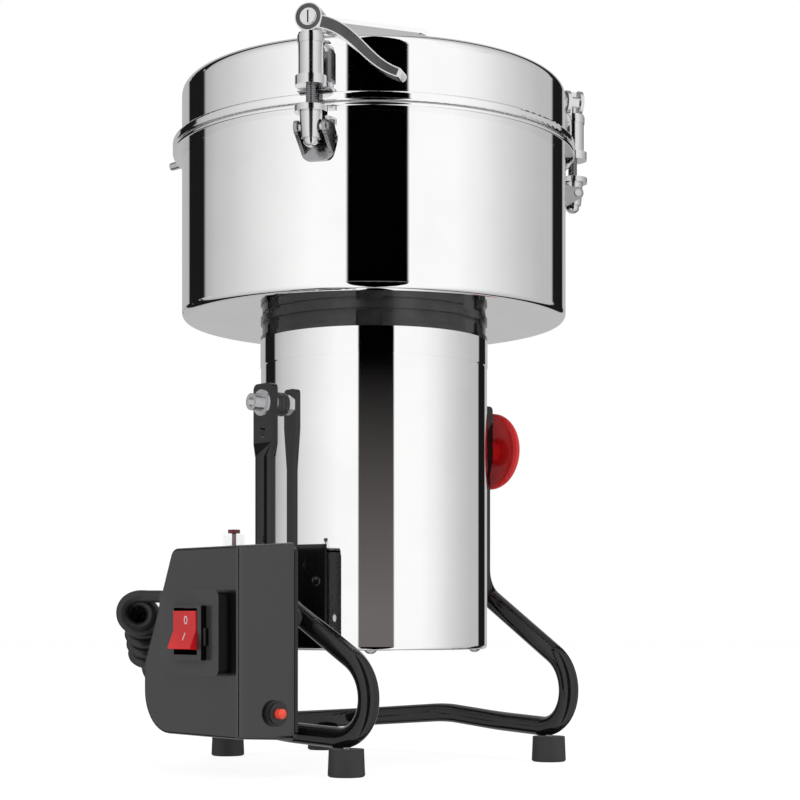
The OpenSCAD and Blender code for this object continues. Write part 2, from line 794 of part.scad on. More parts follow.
module bowl_brackets() {
    low = rod_pin_z - 18;
    top = rod_pin_z + 8;
    corner = 6;
    color([0.1, 0.1, 0.105])
        for (a = clamp_azimuths)
            towards(a)
                difference() {
                    union() {
                        for (s = [0, 1])
                            mirror([s, 0, 0])
                                translate([cheek_inner, -rod_r, rod_pin_z])
                                    rotate([90, 0, -90]) mirror([0, 0, 1]) linear_extrude(cheek_t) cheek_outline();
                        intersection() {
                            translate([0, -bowl_r + 5, 0])
                                rotate([90, 0, 0])
                                    linear_extrude(10) {
                                        translate([-bracket_half, low + corner]) square([2 * bracket_half, top - low - corner]);
                                        translate([-bracket_half + corner, low]) square([2 * (bracket_half - corner), corner + 1]);
                                        for (s = [-1, 1])
                                            translate([s * (bracket_half - corner), low + corner]) circle(r = corner);
                                    }
                            cylinder(r = bowl_r + bracket_t, h = lid_top_z, $fn = 240);
                        }
                    }
                    bowl_space();
                    translate([-20, -rod_r, rod_pin_z]) x_cylinder(2.5, 40);
                }
}

module bracket_pins() {
    color([0.7, 0.7, 0.72])
        for (a = clamp_azimuths)
            towards(a)
                translate([-cheek_inner - cheek_t - 0.8, -rod_r, rod_pin_z])
                    x_cylinder(2.5, 2 * (cheek_inner + cheek_t + 0.8));
}

// The rod with the barrel that swings on the bracket's pin, and the cross pin on top.
module tie_rod(k) {
    color([0.78, 0.78, 0.8])
        towards(clamp_azimuths[k])
            translate([0, -rod_r, 0])
                difference() {
                    union() {
                        translate([0, 0, rod_pin_z - 7.5]) cylinder(r1 = 6.2, r2 = 7.5, h = 16.4);
                        translate([0, 0, barrel_top_z]) cylinder(r = 10.6, h = 3.8);
                        translate([0, 0, rod_pin_z - 10.2]) cylinder(r = 4.8, h = 3);
                        translate([0, 0, rod_pin_z - 10.1])
                            rotate([180, 0, 0])
                                rotate_extrude()
                                    intersection() {
                                        translate([0, -2.4]) circle(r = 5.35);
                                        square([4.8, 3.2]);
                                    }
                        translate([0, 0, barrel_top_z]) cylinder(d = rod_d, h = cam_z - barrel_top_z);
                        translate([0, lever_t / 2 + 0.5, cam_z]) front_cylinder(cross_pin_r, lever_t + 1);
                    }
                    translate([-20, 0, rod_pin_z]) x_cylinder(2.5 + run, 40);
                    translate([-0.6, -lever_t / 2 - 1.5, cam_z - 4]) cube([1.2, 2.5, 8]);
                }
}
module tie_rod_1() { tie_rod(0); }
module tie_rod_2() { tie_rod(1); }
module tie_rod_3() { tie_rod(2); }

module clamp_sleeve(k) {
    color([0.3, 0.3, 0.31])
        towards(clamp_azimuths[k])
            translate([0, -rod_r, 0])
                difference() {
                    union() {
                        translate([0, 0, flange_z]) cylinder(r = 10.35, h = flange_top_z - flange_z);
                        translate([0, 0, flange_z]) cylinder(r = 8.2, h = collar_top_z - flange_z);
                        translate([0, 0, collar_z]) cylinder(r = 8.8, h = collar_top_z - collar_z - 1.5);
                    }
                    translate([0, 0, flange_z - 1]) cylinder(d = rod_d + 0.2, h = 60);
                }
}
module clamp_sleeve_1() { clamp_sleeve(0); }
module clamp_sleeve_2() { clamp_sleeve(1); }
module clamp_sleeve_3() { clamp_sleeve(2); }

// The lever's arm follows a Bezier curve from the boss to its tip.
lever_curve = [[4, -3], [30, -7], [36, -31], [58.5, -39.8]];
lever_half = [4.3, 2.9];            // half of its depth at the boss and at the tip
function bez(c, t) = c[0] * pow(1 - t, 3) + 3 * c[1] * t * pow(1 - t, 2) + 3 * c[2] * t * t * (1 - t) + c[3] * pow(t, 3);
function bez_dir(c, t) = unit((c[1] - c[0]) * pow(1 - t, 2) + 2 * (c[2] - c[1]) * t * (1 - t) + (c[3] - c[2]) * t * t);
function lever_edge(t, side, in) = let(d = bez_dir(lever_curve, t))
    bez(lever_curve, t) + side * [-d[1], d[0]] * (lever_half[0] + (lever_half[1] - lever_half[0]) * t - in);

module lever_arm_outline(in, from, to) {
    steps = 14;
    ts = [for (i = [0 : steps]) from + (to - from) * i / steps];
    polygon(concat(
        [for (t = ts) lever_edge(t, 1, in)],
        [for (i = [steps : -1 : 0]) lever_edge(ts[i], -1, in)]
    ));
}

module cam_lever(k) {
    color([0.12, 0.12, 0.125])
        towards(clamp_azimuths[k])
            translate([0, -rod_r, cam_z])
                difference() {
                    union() {
                        translate([0, lever_t / 2, 0]) front_cylinder(cam_d / 2, lever_t);
                        translate([0, lever_t / 2, 0]) rotate([90, 0, 0]) linear_extrude(lever_t) {
                            lever_arm_outline(0, 0, 1);
                            translate(lever_curve[3]) circle(r = lever_half[1]);
                        }
                    }
                    translate([0, 10, 0]) front_cylinder(cross_pin_r + run, 20);
                    // the slot that the rod passes through as the lever turns over
                    translate([-20, -rod_d / 2 - 0.5, -20]) cube([21.4, rod_d + 1, 40]);
                    translate([0, -rod_d / 2 - 0.5, -20]) cube([rod_d / 2 + 0.4, rod_d + 1, 20]);
                    // a shallow panel along the outer face
                    translate([0, -lever_t / 2 + 0.7, 0]) rotate([90, 0, 0]) linear_extrude(3)
                        lever_arm_outline(1.4, 0.36, 0.96);
                }
}
module cam_lever_1() { cam_lever(0); }
module cam_lever_2() { cam_lever(1); }
module cam_lever_3() { cam_lever(2); }

module lid_brackets() {
    low = flange_top_z + 1;
    top = collar_z - 1;
    pad_r = rod_r - 5.5;
    lug_r = rod_r - 8.5;            // the outer end of the two lugs beside the sleeve
    color([0.1, 0.1, 0.105])
        for (a = clamp_azimuths)
            towards(a) {
                difference() {
                    union() {
                        for (s = [0, 1])
                            mirror([s, 0, 0])
                                translate([bracket_half - 2, -lug_r, low]) cube([2, lug_r - bowl_r + 4, top - low]);
                        intersection() {
                            translate([-bracket_half, -bowl_r - 8, low]) cube([2 * bracket_half, 12, top - low]);
                            cylinder(r = bowl_r + bracket_t, h = lid_top_z, $fn = 240);
                        }
                    }
                    bowl_space();
                }
                difference() {
                    translate([-bracket_half, -pad_r, lid_rim_z + lid_rim_h]) cube([2 * bracket_half, 12, pad_t]);
                    bowl_space();
                }
            }
}

// ---------- inside the motor ----------

core_z = motor_z + 49;
core_h = 85;
armature_r = 36;

module rotor_shaft() {
    color([0.7, 0.7, 0.72]) {
        translate([0, 0, motor_z + 6]) cylinder(d = shaft_d, h = bowl_z + 20 - motor_z - 6);
        translate([0, 0, bowl_z + 20]) cylinder(d = shaft_d - 2, h = 40);
    }
}

module bearing_at(z) {
    translate([0, 0, z]) {
        ring(bearing_r, bearing_r - 3, bearing_h);
        ring(shaft_d / 2 + 3, shaft_d / 2 + run, bearing_h);
        translate([0, 0, 2]) ring(bearing_r - 3 + eps, shaft_d / 2 + 3 - eps, bearing_h - 4);
    }
}
module lower_bearing() { color([0.65, 0.66, 0.68]) bearing_at(lower_bearing_z); }
module upper_bearing() { color([0.65, 0.66, 0.68]) bearing_at(upper_bearing_z); }

module armature_core() {
    color([0.45, 0.45, 0.47])
        translate([0, 0, core_z])
            difference() {
                cylinder(r = armature_r, h = core_h);
                translate([0, 0, -1]) cylinder(d = shaft_d, h = core_h + 2);
                for (i = [0 : 15])
                    rotate([0, 0, i * 22.5]) translate([armature_r - 9, -1.6, -1]) cube([12, 3.2, core_h + 2]);
            }
}

module commutator() {
    color([0.72, 0.45, 0.2])
        translate([0, 0, core_z + core_h + 22])
            difference() {
                cylinder(r = 17, h = 24);
                translate([0, 0, -1]) cylinder(d = shaft_d, h = 26);
                for (i = [0 : 23])
                    rotate([0, 0, i * 15]) translate([16, -0.4, -1]) cube([2, 0.8, 26]);
            }
}

module cooling_fan() {
    color([0.15, 0.15, 0.16])
        translate([0, 0, lower_bearing_z + bearing_h + 4])
            difference() {
                union() {
                    cylinder(r = 62, h = 1.6);
                    cylinder(r = 12, h = 14);
                    for (i = [0 : 8])
                        rotate([0, 0, i * 40]) translate([20, -0.8, 0]) cube([41, 1.6, 11]);
                }
                translate([0, 0, -1]) cylinder(d = shaft_d, h = 20);
            }
}

// Laminations with two poles; four ears reach the barrel's wall.
module stator_core() {
    color([0.5, 0.5, 0.52])
        translate([0, 0, core_z])
            linear_extrude(core_h)
                difference() {
                    union() {
                        circle(r = 66);
                        intersection() {
                            circle(r = motor_r - motor_wall - wall_clear);
                            for (i = [0 : 3]) rotate(45 + i * 90) translate([55, -9]) square([40, 18]);
                        }
                    }
                    difference() {
                        circle(r = 54);
                        intersection() {
                            circle(r = 56);
                            for (s = [-1, 1]) translate([s * 45 - 20, -26]) square([40, 52]);
                        }
                    }
                    circle(r = armature_r + 1);
                }
}

module field_coils() {
    color([0.6, 0.3, 0.12])
        for (z = [core_z - 15, core_z + core_h])
            translate([0, 0, z])
                for (s = [0, 1])
                    mirror([s, 0, 0])
                        difference() {
                            translate([40, -33, 0]) cube([13, 66, 15]);
                            translate([47, -20, -1]) cube([20, 40, 17]);
                        }
}

brush_z = core_z + core_h + 34;
brush_len = 24;

module brush_holders() {
    color([0.16, 0.16, 0.17])
        for (a = [0, 180])
            rotate([0, 0, a + 40])
                difference() {
                    intersection() {
                        translate([-8, 20, brush_z - 7]) cube([16, motor_r, 14]);
                        cylinder(r = motor_r - motor_wall - wall_clear, h = motor_top_z);
                    }
                    translate([-4, 19, brush_z - 3.5]) cube([8, 34, 7]);
                    translate([-9, 56, brush_z]) cube([18, 14, 8]);
                }
}

module carbon_brushes() {
    color([0.2, 0.2, 0.2])
        for (a = [0, 180])
            rotate([0, 0, a + 40])
                difference() {
                    translate([-3.9, 15, brush_z - 3.4]) cube([7.8, brush_len, 6.8]);
                    cylinder(r = 17 + gap, h = 400);
                }
}

// ---------- blades ----------

module blade(len, w, z, a, lift) {
    hub = 13;
    translate([0, 0, z])
        rotate([0, 0, a])
            difference() {
                union() {
                    cylinder(r = hub + 3, h = 4);
                    for (s = [0, 180])
                        rotate([0, 0, s]) rotate([lift, 0, 0]) translate([0, -w / 2, 0.4])
                            linear_extrude(3)
                                polygon([[hub, 0], [len, w * 0.12], [len, w * 0.75], [len * 0.9, w], [hub, w]]);
                }
                translate([0, 0, -20]) cylinder(d = shaft_d - 2 + 0.04, h = 60);
            }
}

module grinding_blades() {
    color([0.75, 0.76, 0.78]) {
        blade(112, 26, bowl_z + 20, 20, 5);
        blade(88, 22, bowl_z + 36, 110, -6);
    }
}

module blade_nut() {
    color([0.7, 0.7, 0.72]) {
        translate([0, 0, bowl_z + 24]) ring(12, shaft_d / 2 - 1 + 0.02, 12);
        difference() {
            translate([0, 0, bowl_z + 40]) union() {
                hex(19, 12);
                cylinder(r = 12, h = 2);
            }
            translate([0, 0, bowl_z + 30]) cylinder(d = shaft_d - 2 + 0.04, h = 40);
        }
    }
}

// ---------- control box ----------

box_inner_x = box_back_x + back_t;
box_outer_x = box_inner_x + box_w;
box_top_z = box_z + box_h;

box_slope_y = box_rear - 33.5;        // where the slanting rear face meets the top
// Side view of the box: x is back, y is up, running counterclockwise.
box_points = [
    [-box_front, box_z], [box_rear, box_z], [box_rear, box_z + 46], [box_slope_y, box_top_z], [-box_front, box_top_z]
];
box_radii = [3, 28, 14, 7, 3];
box_inner_radii = [2, 26.5, 12.5, 5.5, 2];

// Puts a side view at x = -from, growing outwards (towards -X) by thickness t.
module on_left(from, t) {
    translate([-from, 0, 0]) rotate([90, 0, 90]) mirror([0, 0, 1]) linear_extrude(t) children();
}

plate_y = [-52, 14.5];
plate_z = [66, 121];
plate_points = [
    [plate_y[0], plate_z[0]], [plate_y[1], plate_z[0]], [plate_y[1], plate_z[1]], [plate_y[0], plate_z[1]]
];
plate_t = 10;
plate_x = box_outer_x + plate_t;
bezel_t = 4.2;
bezel_x = plate_x + bezel_t;
bezel_y = [-38.8, -4];
bezel_z = [76, 111];
switch_mid_y = (bezel_y[0] + bezel_y[1]) / 2;
switch_mid_z = (bezel_z[0] + bezel_z[1]) / 2;
switch_cut = 31.4;
breaker_x = 135;
breaker_z = 41.5;
start_x = 150;
start_y = -35.3;
rear_slope_u = unit([box_slope_y - box_rear, box_top_z - box_z - 46]);
gland_out = [rear_slope_u[1], -rear_slope_u[0]];   // outwards from the slanting rear face
gland_x = 142;
gland_mid = [box_rear, box_z + 46] + rear_slope_u * 42;
gland_tilt = atan2(gland_out[1], gland_out[0]);

// Along the normal of the box's slanting rear face, from its outside.
module at_box_gland() {
    translate([-gland_x, gland_mid[0], gland_mid[1]]) rotate([gland_tilt - 90, 0, 0]) children();
}

module control_box() {
    color([0.24, 0.24, 0.25])
        difference() {
            on_left(box_inner_x, box_w) rounded(box_points, box_radii);
            on_left(box_inner_x - 1, box_w + 1 - box_wall)
                rounded(inset(box_points, box_wall), box_inner_radii);
            translate([-box_outer_x - 5, switch_mid_y - switch_cut / 2, switch_mid_z - switch_cut / 2])
                cube([10, switch_cut, switch_cut]);
            translate([-breaker_x, -box_front + 5, breaker_z]) front_cylinder(5.6, 10);
            translate([-start_x, start_y, box_top_z - 5]) cylinder(r = 4.2, h = 10);
            at_box_gland() translate([0, 0, -5]) cylinder(r = 6.1, h = 10);
        }
}

module box_back_plate() {
    color([0.1, 0.1, 0.105]) {
        difference() {
            on_left(box_back_x, back_t) rounded(box_points, box_radii);
            for (p = box_boss_places) translate([-box_inner_x - 1, p[1], p[2]]) x_cylinder(2.6, back_t + 2);
        }
        for (y = [-39, 17], z = [52, 106])
            translate([-box_inner_x - 6, y, z]) x_cylinder(3.2, 6);
    }
}

module box_screws() {
    color([0.7, 0.7, 0.72])
        for (p = box_boss_places)
            translate([-box_inner_x, p[1], p[2]]) {
                translate([-3, 0, 0]) x_cylinder(4.4, 3);
                x_cylinder(2.5, 9.5);
            }
}

module circuit_board() {
    x = box_inner_x + 6;
    color([0.1, 0.3, 0.16]) translate([-x - 1.6, -45, 46]) cube([1.6, 68, 66]);
    color([0.15, 0.15, 0.16]) {
        translate([-x - 1.6 - 14, -14, 96]) cube([14, 24, 14]);
        translate([-x - 1.6 - 18, 12, 70]) x_cylinder(8, 18);
        translate([-x - 1.6 - 10, -8, 50]) cube([10, 28, 9]);
    }
}

module switch_plate() {
    color([0.24, 0.24, 0.25])
        difference() {
            on_left(box_outer_x, plate_t)
                rounded(plate_points, [5, 5, 5, 5]);
            on_left(box_outer_x - 1, plate_t - 1.2)
                rounded(inset(plate_points, 2.2), [3, 3, 3, 3]);
            translate([-plate_x - 1, switch_mid_y - switch_cut / 2, switch_mid_z - switch_cut / 2])
                cube([10, switch_cut, switch_cut]);
        }
}

// The rocker turns on two stubs inside the switch.
rocker_pivot_x = bezel_x - 6.7;
rocker_z = switch_mid_z;
rocker_half = 12.4;
rocker_out = 10;
key_gap_w = rocker_w + 0.8;
key_gap_h = 30.2;

module switch_body() {
    color([0.06, 0.06, 0.065]) {
        difference() {
            union() {
                translate([-bezel_x, bezel_y[0], bezel_z[0]])
                    cube([bezel_t, bezel_y[1] - bezel_y[0], bezel_z[1] - bezel_z[0]]);
                translate([-plate_x, switch_mid_y - 15.5, switch_mid_z - 15.5]) cube([22, 31, 31]);
                // the catch on its front edge
                translate([-plate_x - 2.4, bezel_y[0] - 2.4, switch_mid_z - 8]) cube([2.4, 2.4 + eps, 11]);
            }
            translate([-bezel_x - 1, switch_mid_y - key_gap_w / 2, rocker_z + 1 - key_gap_h / 2])
                cube([17, key_gap_w, key_gap_h]);
            translate([-rocker_pivot_x, switch_mid_y + 15, rocker_z]) front_cylinder(2 + run, 30);
        }
        for (z = [-8, 0, 8])
            translate([-plate_x + 22, switch_mid_y - 3, switch_mid_z + z - 0.4]) cube([8, 6, 0.8]);
    }
}

// Seen along its stubs, with the key upright: x is outwards, y is up. Each half of the face stands upright
// when the key is tipped to its side.
module rocker_outline() {
    polygon([
        [rocker_out, -rocker_half], [rocker_out - rocker_half * tan(rocker_throw / 2), 0], [rocker_out, rocker_half],
        [4, rocker_half - 0.4], [-3, 6], [-3, -6], [4, -rocker_half + 0.4]
    ]);
}

module rocker() {
    color([0.8, 0.12, 0.13])
        translate([-rocker_pivot_x, switch_mid_y, rocker_z]) {
            rotate([0, rocker_throw / 2, 0])
                translate([0, rocker_w / 2, 0])
                    rotate([90, 0, 0]) mirror([1, 0, 0]) linear_extrude(rocker_w) rocker_outline();
            translate([0, rocker_w / 2 + 1.6, 0]) front_cylinder(2, rocker_w + 3.2);
        }
}

module breaker_body() {
    color([0.06, 0.06, 0.065])
        translate([-breaker_x, 0, breaker_z])
            difference() {
                union() {
                    translate([0, -box_front, 0]) front_cylinder(8.5, 2.6);
                    translate([0, -box_front - 2.6, 0]) front_cylinder(7, 1.6);
                    translate([0, -box_front + box_wall + eps, 0]) front_cylinder(5.5, box_wall + 1);
                    translate([-7, -box_front + box_wall, -11]) cube([14, 26, 22]);
                }
                translate([0, -box_front + 14, 0]) front_cylinder(3.3 + run, 30);
            }
}

module reset_button() {
    color([0.9, 0.2, 0.15])
        translate([-breaker_x, -box_front + 8, breaker_z]) {
            front_cylinder(3.3, 16.4);
            translate([0, -16.4, 0])
                rotate([90, 0, 0])
                    rotate_extrude()
                        intersection() {
                            translate([0, -2.4]) circle(r = 4);
                            square([3.3, 2]);
                        }
        }
}

module button_guard() {
    color([0.8, 0.85, 0.88, 0.4])
        translate([-start_x, start_y, box_top_z]) {
            ring(7.2, 6, 8.2);
            ring(7.2, 3.2, 1);
            translate([0, 0, -box_wall]) ring(4.1, 3.2, box_wall + eps);
            translate([0, 0, -box_wall - 8])
                difference() {
                    cylinder(r = 6, h = 8);
                    translate([0, 0, 2]) cylinder(r = 3.2, h = 8);
                }
        }
}

module start_button() {
    color([0.35, 0.05, 0.08])
        translate([-start_x, start_y, box_top_z]) {
            translate([0, 0, -box_wall - 2.6]) cylinder(r = 3.2 - run, h = 3.6 + box_wall);
            cylinder(r = 1.4, h = 9);
            translate([0, 0, 8.9]) cylinder(r = 3.9, h = 2.3);
        }
}

// ---------- curly lead and its glands ----------

lead_gland_l = 11;

module gland(nut) {
    difference() {
        union() {
            hex(nut, 4);
            translate([0, 0, 4]) cylinder(r = nut / 2 - 1, h = 4);
            translate([0, 0, 8]) cylinder(r1 = nut / 2 - 1.6, r2 = lead_d / 2 + 1.1, h = lead_gland_l - 8);
            translate([0, 0, -4]) cylinder(r = 6 - eps, h = 5);
        }
        translate([0, 0, -5]) cylinder(r = lead_d / 2 + 0.1, h = lead_gland_l + 10);
    }
}

module box_gland() {
    color([0.07, 0.07, 0.075]) at_box_gland() gland(16);
}

gland_azimuth = -140;
motor_gland_z = motor_z + 31;

module at_motor_gland() {
    towards(gland_azimuth) translate([0, -motor_r, motor_gland_z]) rotate([90, 0, 0]) children();
}

module motor_gland() {
    color([0.07, 0.07, 0.075])
        at_motor_gland()
            difference() {
                union() {
                    cylinder(r = 8, h = 4);
                    translate([0, 0, 4]) cylinder(r = 7, h = 4);
                    translate([0, 0, 8]) cylinder(r1 = 6.4, r2 = lead_d / 2 + 1.1, h = lead_gland_l - 8);
                    translate([0, 0, -3]) cylinder(r = 5, h = 4);
                }
                translate([0, 0, -5]) cylinder(r = lead_d / 2 + 0.1, h = lead_gland_l + 10);
            }
}

// The coil hangs behind the box: its first turns face the viewer, then it bends down.
coil_top = [-155, 69.7, 105];
coil_in = unit([0.663, 0.749, 0]);
coil_down = unit([0.518, 0.343, -0.78]);
coil_front = coil_top - coil_in * 4;
coil_knee = coil_top + coil_in * 14;
coil_end = coil_knee + coil_down * 40;
lead_over = coil_d / 2 + lead_d / 2 + 0.6; // the lead's height above the coil's middle
coil_bend_r = 16;
gland_u = [0, gland_out[0], gland_out[1]];
gland_seat = [-gland_x, gland_mid[0], gland_mid[1]];
motor_gland_u = [sin(gland_azimuth), -cos(gland_azimuth), 0];
motor_gland_seat = motor_gland_u * motor_r + [0, 0, motor_gland_z];
tail_to_box = [
    gland_seat - gland_u * 4,
    gland_seat + gland_u * (lead_gland_l + 11),
    coil_top + [6, -4, lead_over],
    coil_top + coil_in * 6 + [-4, 4, lead_over]
];
tail_to_motor = [
    coil_end + coil_down * 0.5,
    coil_end + coil_down * 13,
    [-92, 101, 58],
    motor_gland_seat + motor_gland_u * 38 + [0, 0, -22],
    motor_gland_seat + motor_gland_u * 26,
    motor_gland_seat - motor_gland_u * 4
];

module cord_coil() {
    color([0.05, 0.05, 0.05]) bent_tube([coil_front, coil_knee, coil_end], [0, coil_bend_r, 0], coil_d);
}

module cord_tails() {
    color([0.05, 0.05, 0.05]) {
        bent_tube(tail_to_box, [0, 9, 6, 0], lead_d);
        bent_tube(tail_to_motor, [0, 11, 12, 9, 9, 0], lead_d);
    }
}

// ---------- the whole machine ----------

tube_frame();
rubber_feet();
foot_screws();
pivot_bolts();
pivot_washers();
pivot_spacers();
control_box();
box_back_plate();
box_screws();
switch_plate();
switch_body();
breaker_body();
button_guard();
circuit_board();
box_gland();
cord_coil();
cord_tails();
rocker();
reset_button();
start_button();
lock_knob();
lock_stud();
motor_barrel();
motor_bottom_cap();
motor_top_cap();
bottom_screws();
bowl_adapter();
bowl();
stator_core();
field_coils();
upper_bearing();
lower_bearing();
brush_holders();
carbon_brushes();
pivot_arm_left();
pivot_arm_right();
saddle_rivets();
bowl_brackets();
bracket_pins();
motor_gland();
lid_shell();
lid_seal();
lid_brackets();
lid_handle();
handle_screws();
tie_rod_1();
tie_rod_2();
tie_rod_3();
clamp_sleeve_1();
clamp_sleeve_2();
clamp_sleeve_3();
cam_lever_1();
cam_lever_2();
cam_lever_3();
rotor_shaft();
armature_core();
commutator();
cooling_fan();
grinding_blades();
blade_nut();
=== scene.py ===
"""Electric grain mill: looks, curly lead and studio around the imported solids. Metres, +Z up, -Y the front."""
import json
import math

import bpy
import numpy as np
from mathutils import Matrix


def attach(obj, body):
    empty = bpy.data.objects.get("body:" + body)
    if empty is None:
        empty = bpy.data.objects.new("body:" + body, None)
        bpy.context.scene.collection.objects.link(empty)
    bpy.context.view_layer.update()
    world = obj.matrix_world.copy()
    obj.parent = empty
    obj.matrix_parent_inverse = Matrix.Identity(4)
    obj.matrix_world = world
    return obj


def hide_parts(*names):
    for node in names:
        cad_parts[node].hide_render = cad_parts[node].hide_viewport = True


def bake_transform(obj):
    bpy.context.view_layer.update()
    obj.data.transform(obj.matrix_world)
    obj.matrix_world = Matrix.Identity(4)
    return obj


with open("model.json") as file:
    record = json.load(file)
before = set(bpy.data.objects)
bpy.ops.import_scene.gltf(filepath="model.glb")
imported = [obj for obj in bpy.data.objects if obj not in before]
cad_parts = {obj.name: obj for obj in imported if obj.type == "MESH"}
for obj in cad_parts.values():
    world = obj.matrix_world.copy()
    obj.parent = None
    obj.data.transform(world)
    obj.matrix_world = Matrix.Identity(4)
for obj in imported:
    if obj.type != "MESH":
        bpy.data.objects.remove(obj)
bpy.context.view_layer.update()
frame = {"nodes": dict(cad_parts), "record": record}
NODES = frame["nodes"]
MM = 0.001

# ---------------------------------------------------------------- camera

VIEW_AZIMUTH = math.radians(41.5)      # the camera stands this far from the front towards the control box
VIEW_DISTANCE = 1290 * MM
VIEW_HEIGHT = 104 * MM
VIEW_SIDESTEP = 18.6 * MM              # to the camera's own right
LENS_LENGTH, SENSOR_WIDTH = 80.82, 36  # millimetres
RISING_FRONT = 0.2706                  # in sensor widths
RIGHT =np.array([math.cos(VIEW_AZIMUTH), -math.sin(VIEW_AZIMUTH), 0.0])
AHEAD = np.array([math.sin(VIEW_AZIMUTH), math.cos(VIEW_AZIMUTH), 0.0])


def place_camera():
    """A level camera with a rising front, so that uprights stay upright."""
    camera = bpy.data.objects.new("camera", bpy.data.cameras.new("camera"))
    bpy.context.scene.collection.objects.link(camera)
    camera.location = -AHEAD * VIEW_DISTANCE + RIGHT * VIEW_SIDESTEP + np.array([0, 0, VIEW_HEIGHT])
    camera.rotation_euler = (math.pi / 2, 0, -VIEW_AZIMUTH)
    camera.data.lens = LENS_LENGTH
    camera.data.sensor_width = SENSOR_WIDTH
    camera.data.shift_y = RISING_FRONT
    camera.data.clip_end = 50
    bpy.context.scene.camera = camera


place_camera()

# ---------------------------------------------------------------- mesh making


def mesh_piece(name, verts, faces, body, finish=None, smooth=True):
    """A new piece from arrays of corners and faces, riding on a body."""
    data = bpy.data.meshes.new(name)
    data.from_pydata(np.asarray(verts, float).tolist(), [], [tuple(f) for f in faces])
    data.validate()
    data.polygons.foreach_set("use_smooth", [smooth] * len(data.polygons))
    piece = bpy.data.objects.new(name, data)
    bpy.context.scene.collection.objects.link(piece)
    if finish is not None:
        data.materials.append(finish)
    if body is not None:
        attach(piece, body)
    return piece


def grid_faces(rows, columns, closed_rows=False, closed_columns=True):
    """Quads between the points of a rows x columns grid, wrapped round where it is closed."""
    i = np.arange(rows if closed_rows else rows - 1)
    j = np.arange(columns if closed_columns else columns - 1)
    i, j = np.meshgrid(i, j, indexing="ij")
    i2, j2 = (i + 1) % rows, (j + 1) % columns
    return np.stack([i * columns + j, i * columns + j2, i2 * columns + j2, i2 * columns + j], -1).reshape(-1, 4)


def carried_frames(path):
    """A pair of crosswise directions at each point of a path: each is the last one with its part along
    the path taken out, so the pair turns as little as it can."""
    tangent = np.gradient(path, axis=0)
    tangent /= np.linalg.norm(tangent, axis=1, keepdims=True)
    side = np.cross(tangent[0], [0.0, 0.0, 1.0])
    if np.linalg.norm(side) < 1e-6:
        side = np.array([1.0, 0.0, 0.0])
    sides = []
    for t in tangent:
        side = side - t * (side @ t)
        side /= np.linalg.norm(side)
        sides.append(side)
    sides = np.array(sides)
    return sides, np.cross(tangent, sides)


def tube_along(path, radius, around=14):
    """Corners and faces of a tube: at each point of the path a circle, radius x (cos u side + sin u up),
    closed at both ends by a fan."""
    path = np.asarray(path, float)
    side, up = carried_frames(path)
    u = np.arange(around) * 2 * math.pi / around
    radius = np.broadcast_to(radius, (len(path),))
    ring = side[:, None] * np.cos(u)[None, :, None] + up[:, None] * np.sin(u)[None, :, None]
    verts = (path[:, None] + ring * radius[:, None, None]).reshape(-1, 3)
    faces = grid_faces(len(path), around).tolist()
    n = len(verts)
    verts = np.vstack([verts, path[0], path[-1]])
    last = (len(path) - 1) * around
    for j in range(around):
        faces.append([n, (j + 1) % around, j])
        faces.append([n + 1, last + j, last + (j + 1) % around])
    return verts, faces


def filleted_route(points, radii, step):
    """Points a step apart along a polyline whose corners are arcs: an arc of radius r begins and ends
    r tan(half the turn) from its corner."""
    points = [np.asarray(p, float) for p in points]
    out = [points[0]]
    for before, corner, after, r in zip(points, points[1:], points[2:], radii[1:]):
        u = (corner - before) / np.linalg.norm(corner - before)
        w = (after - corner) / np.linalg.norm(after - corner)
        turn = math.acos(float(np.clip(u @ w, -1, 1)))
        if turn < 1e-4:
            continue
        cut = r * math.tan(turn / 2)
        n = w - u * (w @ u)
        n /= np.linalg.norm(n)
        centre = corner - u * cut + n * r
        a = np.linspace(0, turn, max(3, int(turn * r / step) + 2))[:, None]
        out.extend(centre + r * (u * np.sin(a) - n * np.cos(a)))
    out.append(points[-1])
    return even_steps(np.array(out), step)


def even_steps(path, step):
    """The same line with its points an even step apart."""
    lengths = np.concatenate([[0], np.cumsum(np.linalg.norm(np.diff(path, axis=0), axis=1))])
    keep = np.concatenate([[True], np.diff(lengths) > 1e-9])
    path, lengths = path[keep], lengths[keep]
    s = np.linspace(0, lengths[-1], max(2, int(lengths[-1] / step) + 1))
    return np.stack([np.interp(s, lengths, path[:, k]) for k in range(3)], -1)


# ---------------------------------------------------------------- curly lead

LEAD_R = 4.25 * MM
COIL_MID_R = (14 - 4.2) * MM            # from the coil's axis to the middle of the lead
COIL_PITCH = 8.75 * MM
BOX_GLAND = np.array([-142, 31.74, 110.51]) * MM
BOX_GLAND_OUT = np.array([0, 0.91699, 0.39895])
MOTOR_GLAND_OUT = np.array([math.sin(math.radians(-140)), -math.cos(math.radians(-140)), 0])
MOTOR_GLAND = MOTOR_GLAND_OUT * 77 * MM + np.array([0, 0, 112 * MM])
COIL_TOP = np.array([-155, 69.7, 105]) * MM
COIL_IN = AHEAD + 0.05 * RIGHT - np.array([0, 0, 0.08])   # the first turn's axis
COIL_IN /= np.linalg.norm(COIL_IN)
COIL_DOWN = 0.60 * AHEAD + 0.05 * RIGHT - np.array([0, 0, 0.79])
COIL_DOWN /= np.linalg.norm(COIL_DOWN)
COIL_BEND = 13 * MM
COIL_KNEE = COIL_TOP + COIL_IN * 14 * MM
COIL_END = COIL_KNEE + COIL_DOWN * 40 * MM
BEND_SPAN = (7 * MM, 24 * MM)           # the lengths along the coil's axis between which it bends
BEND_SQUEEZE = 2.4 * MM                 # how much closer the turns lie there
ENTRY_SPREAD = 2.6 * MM                 # how much further out the first turn begins


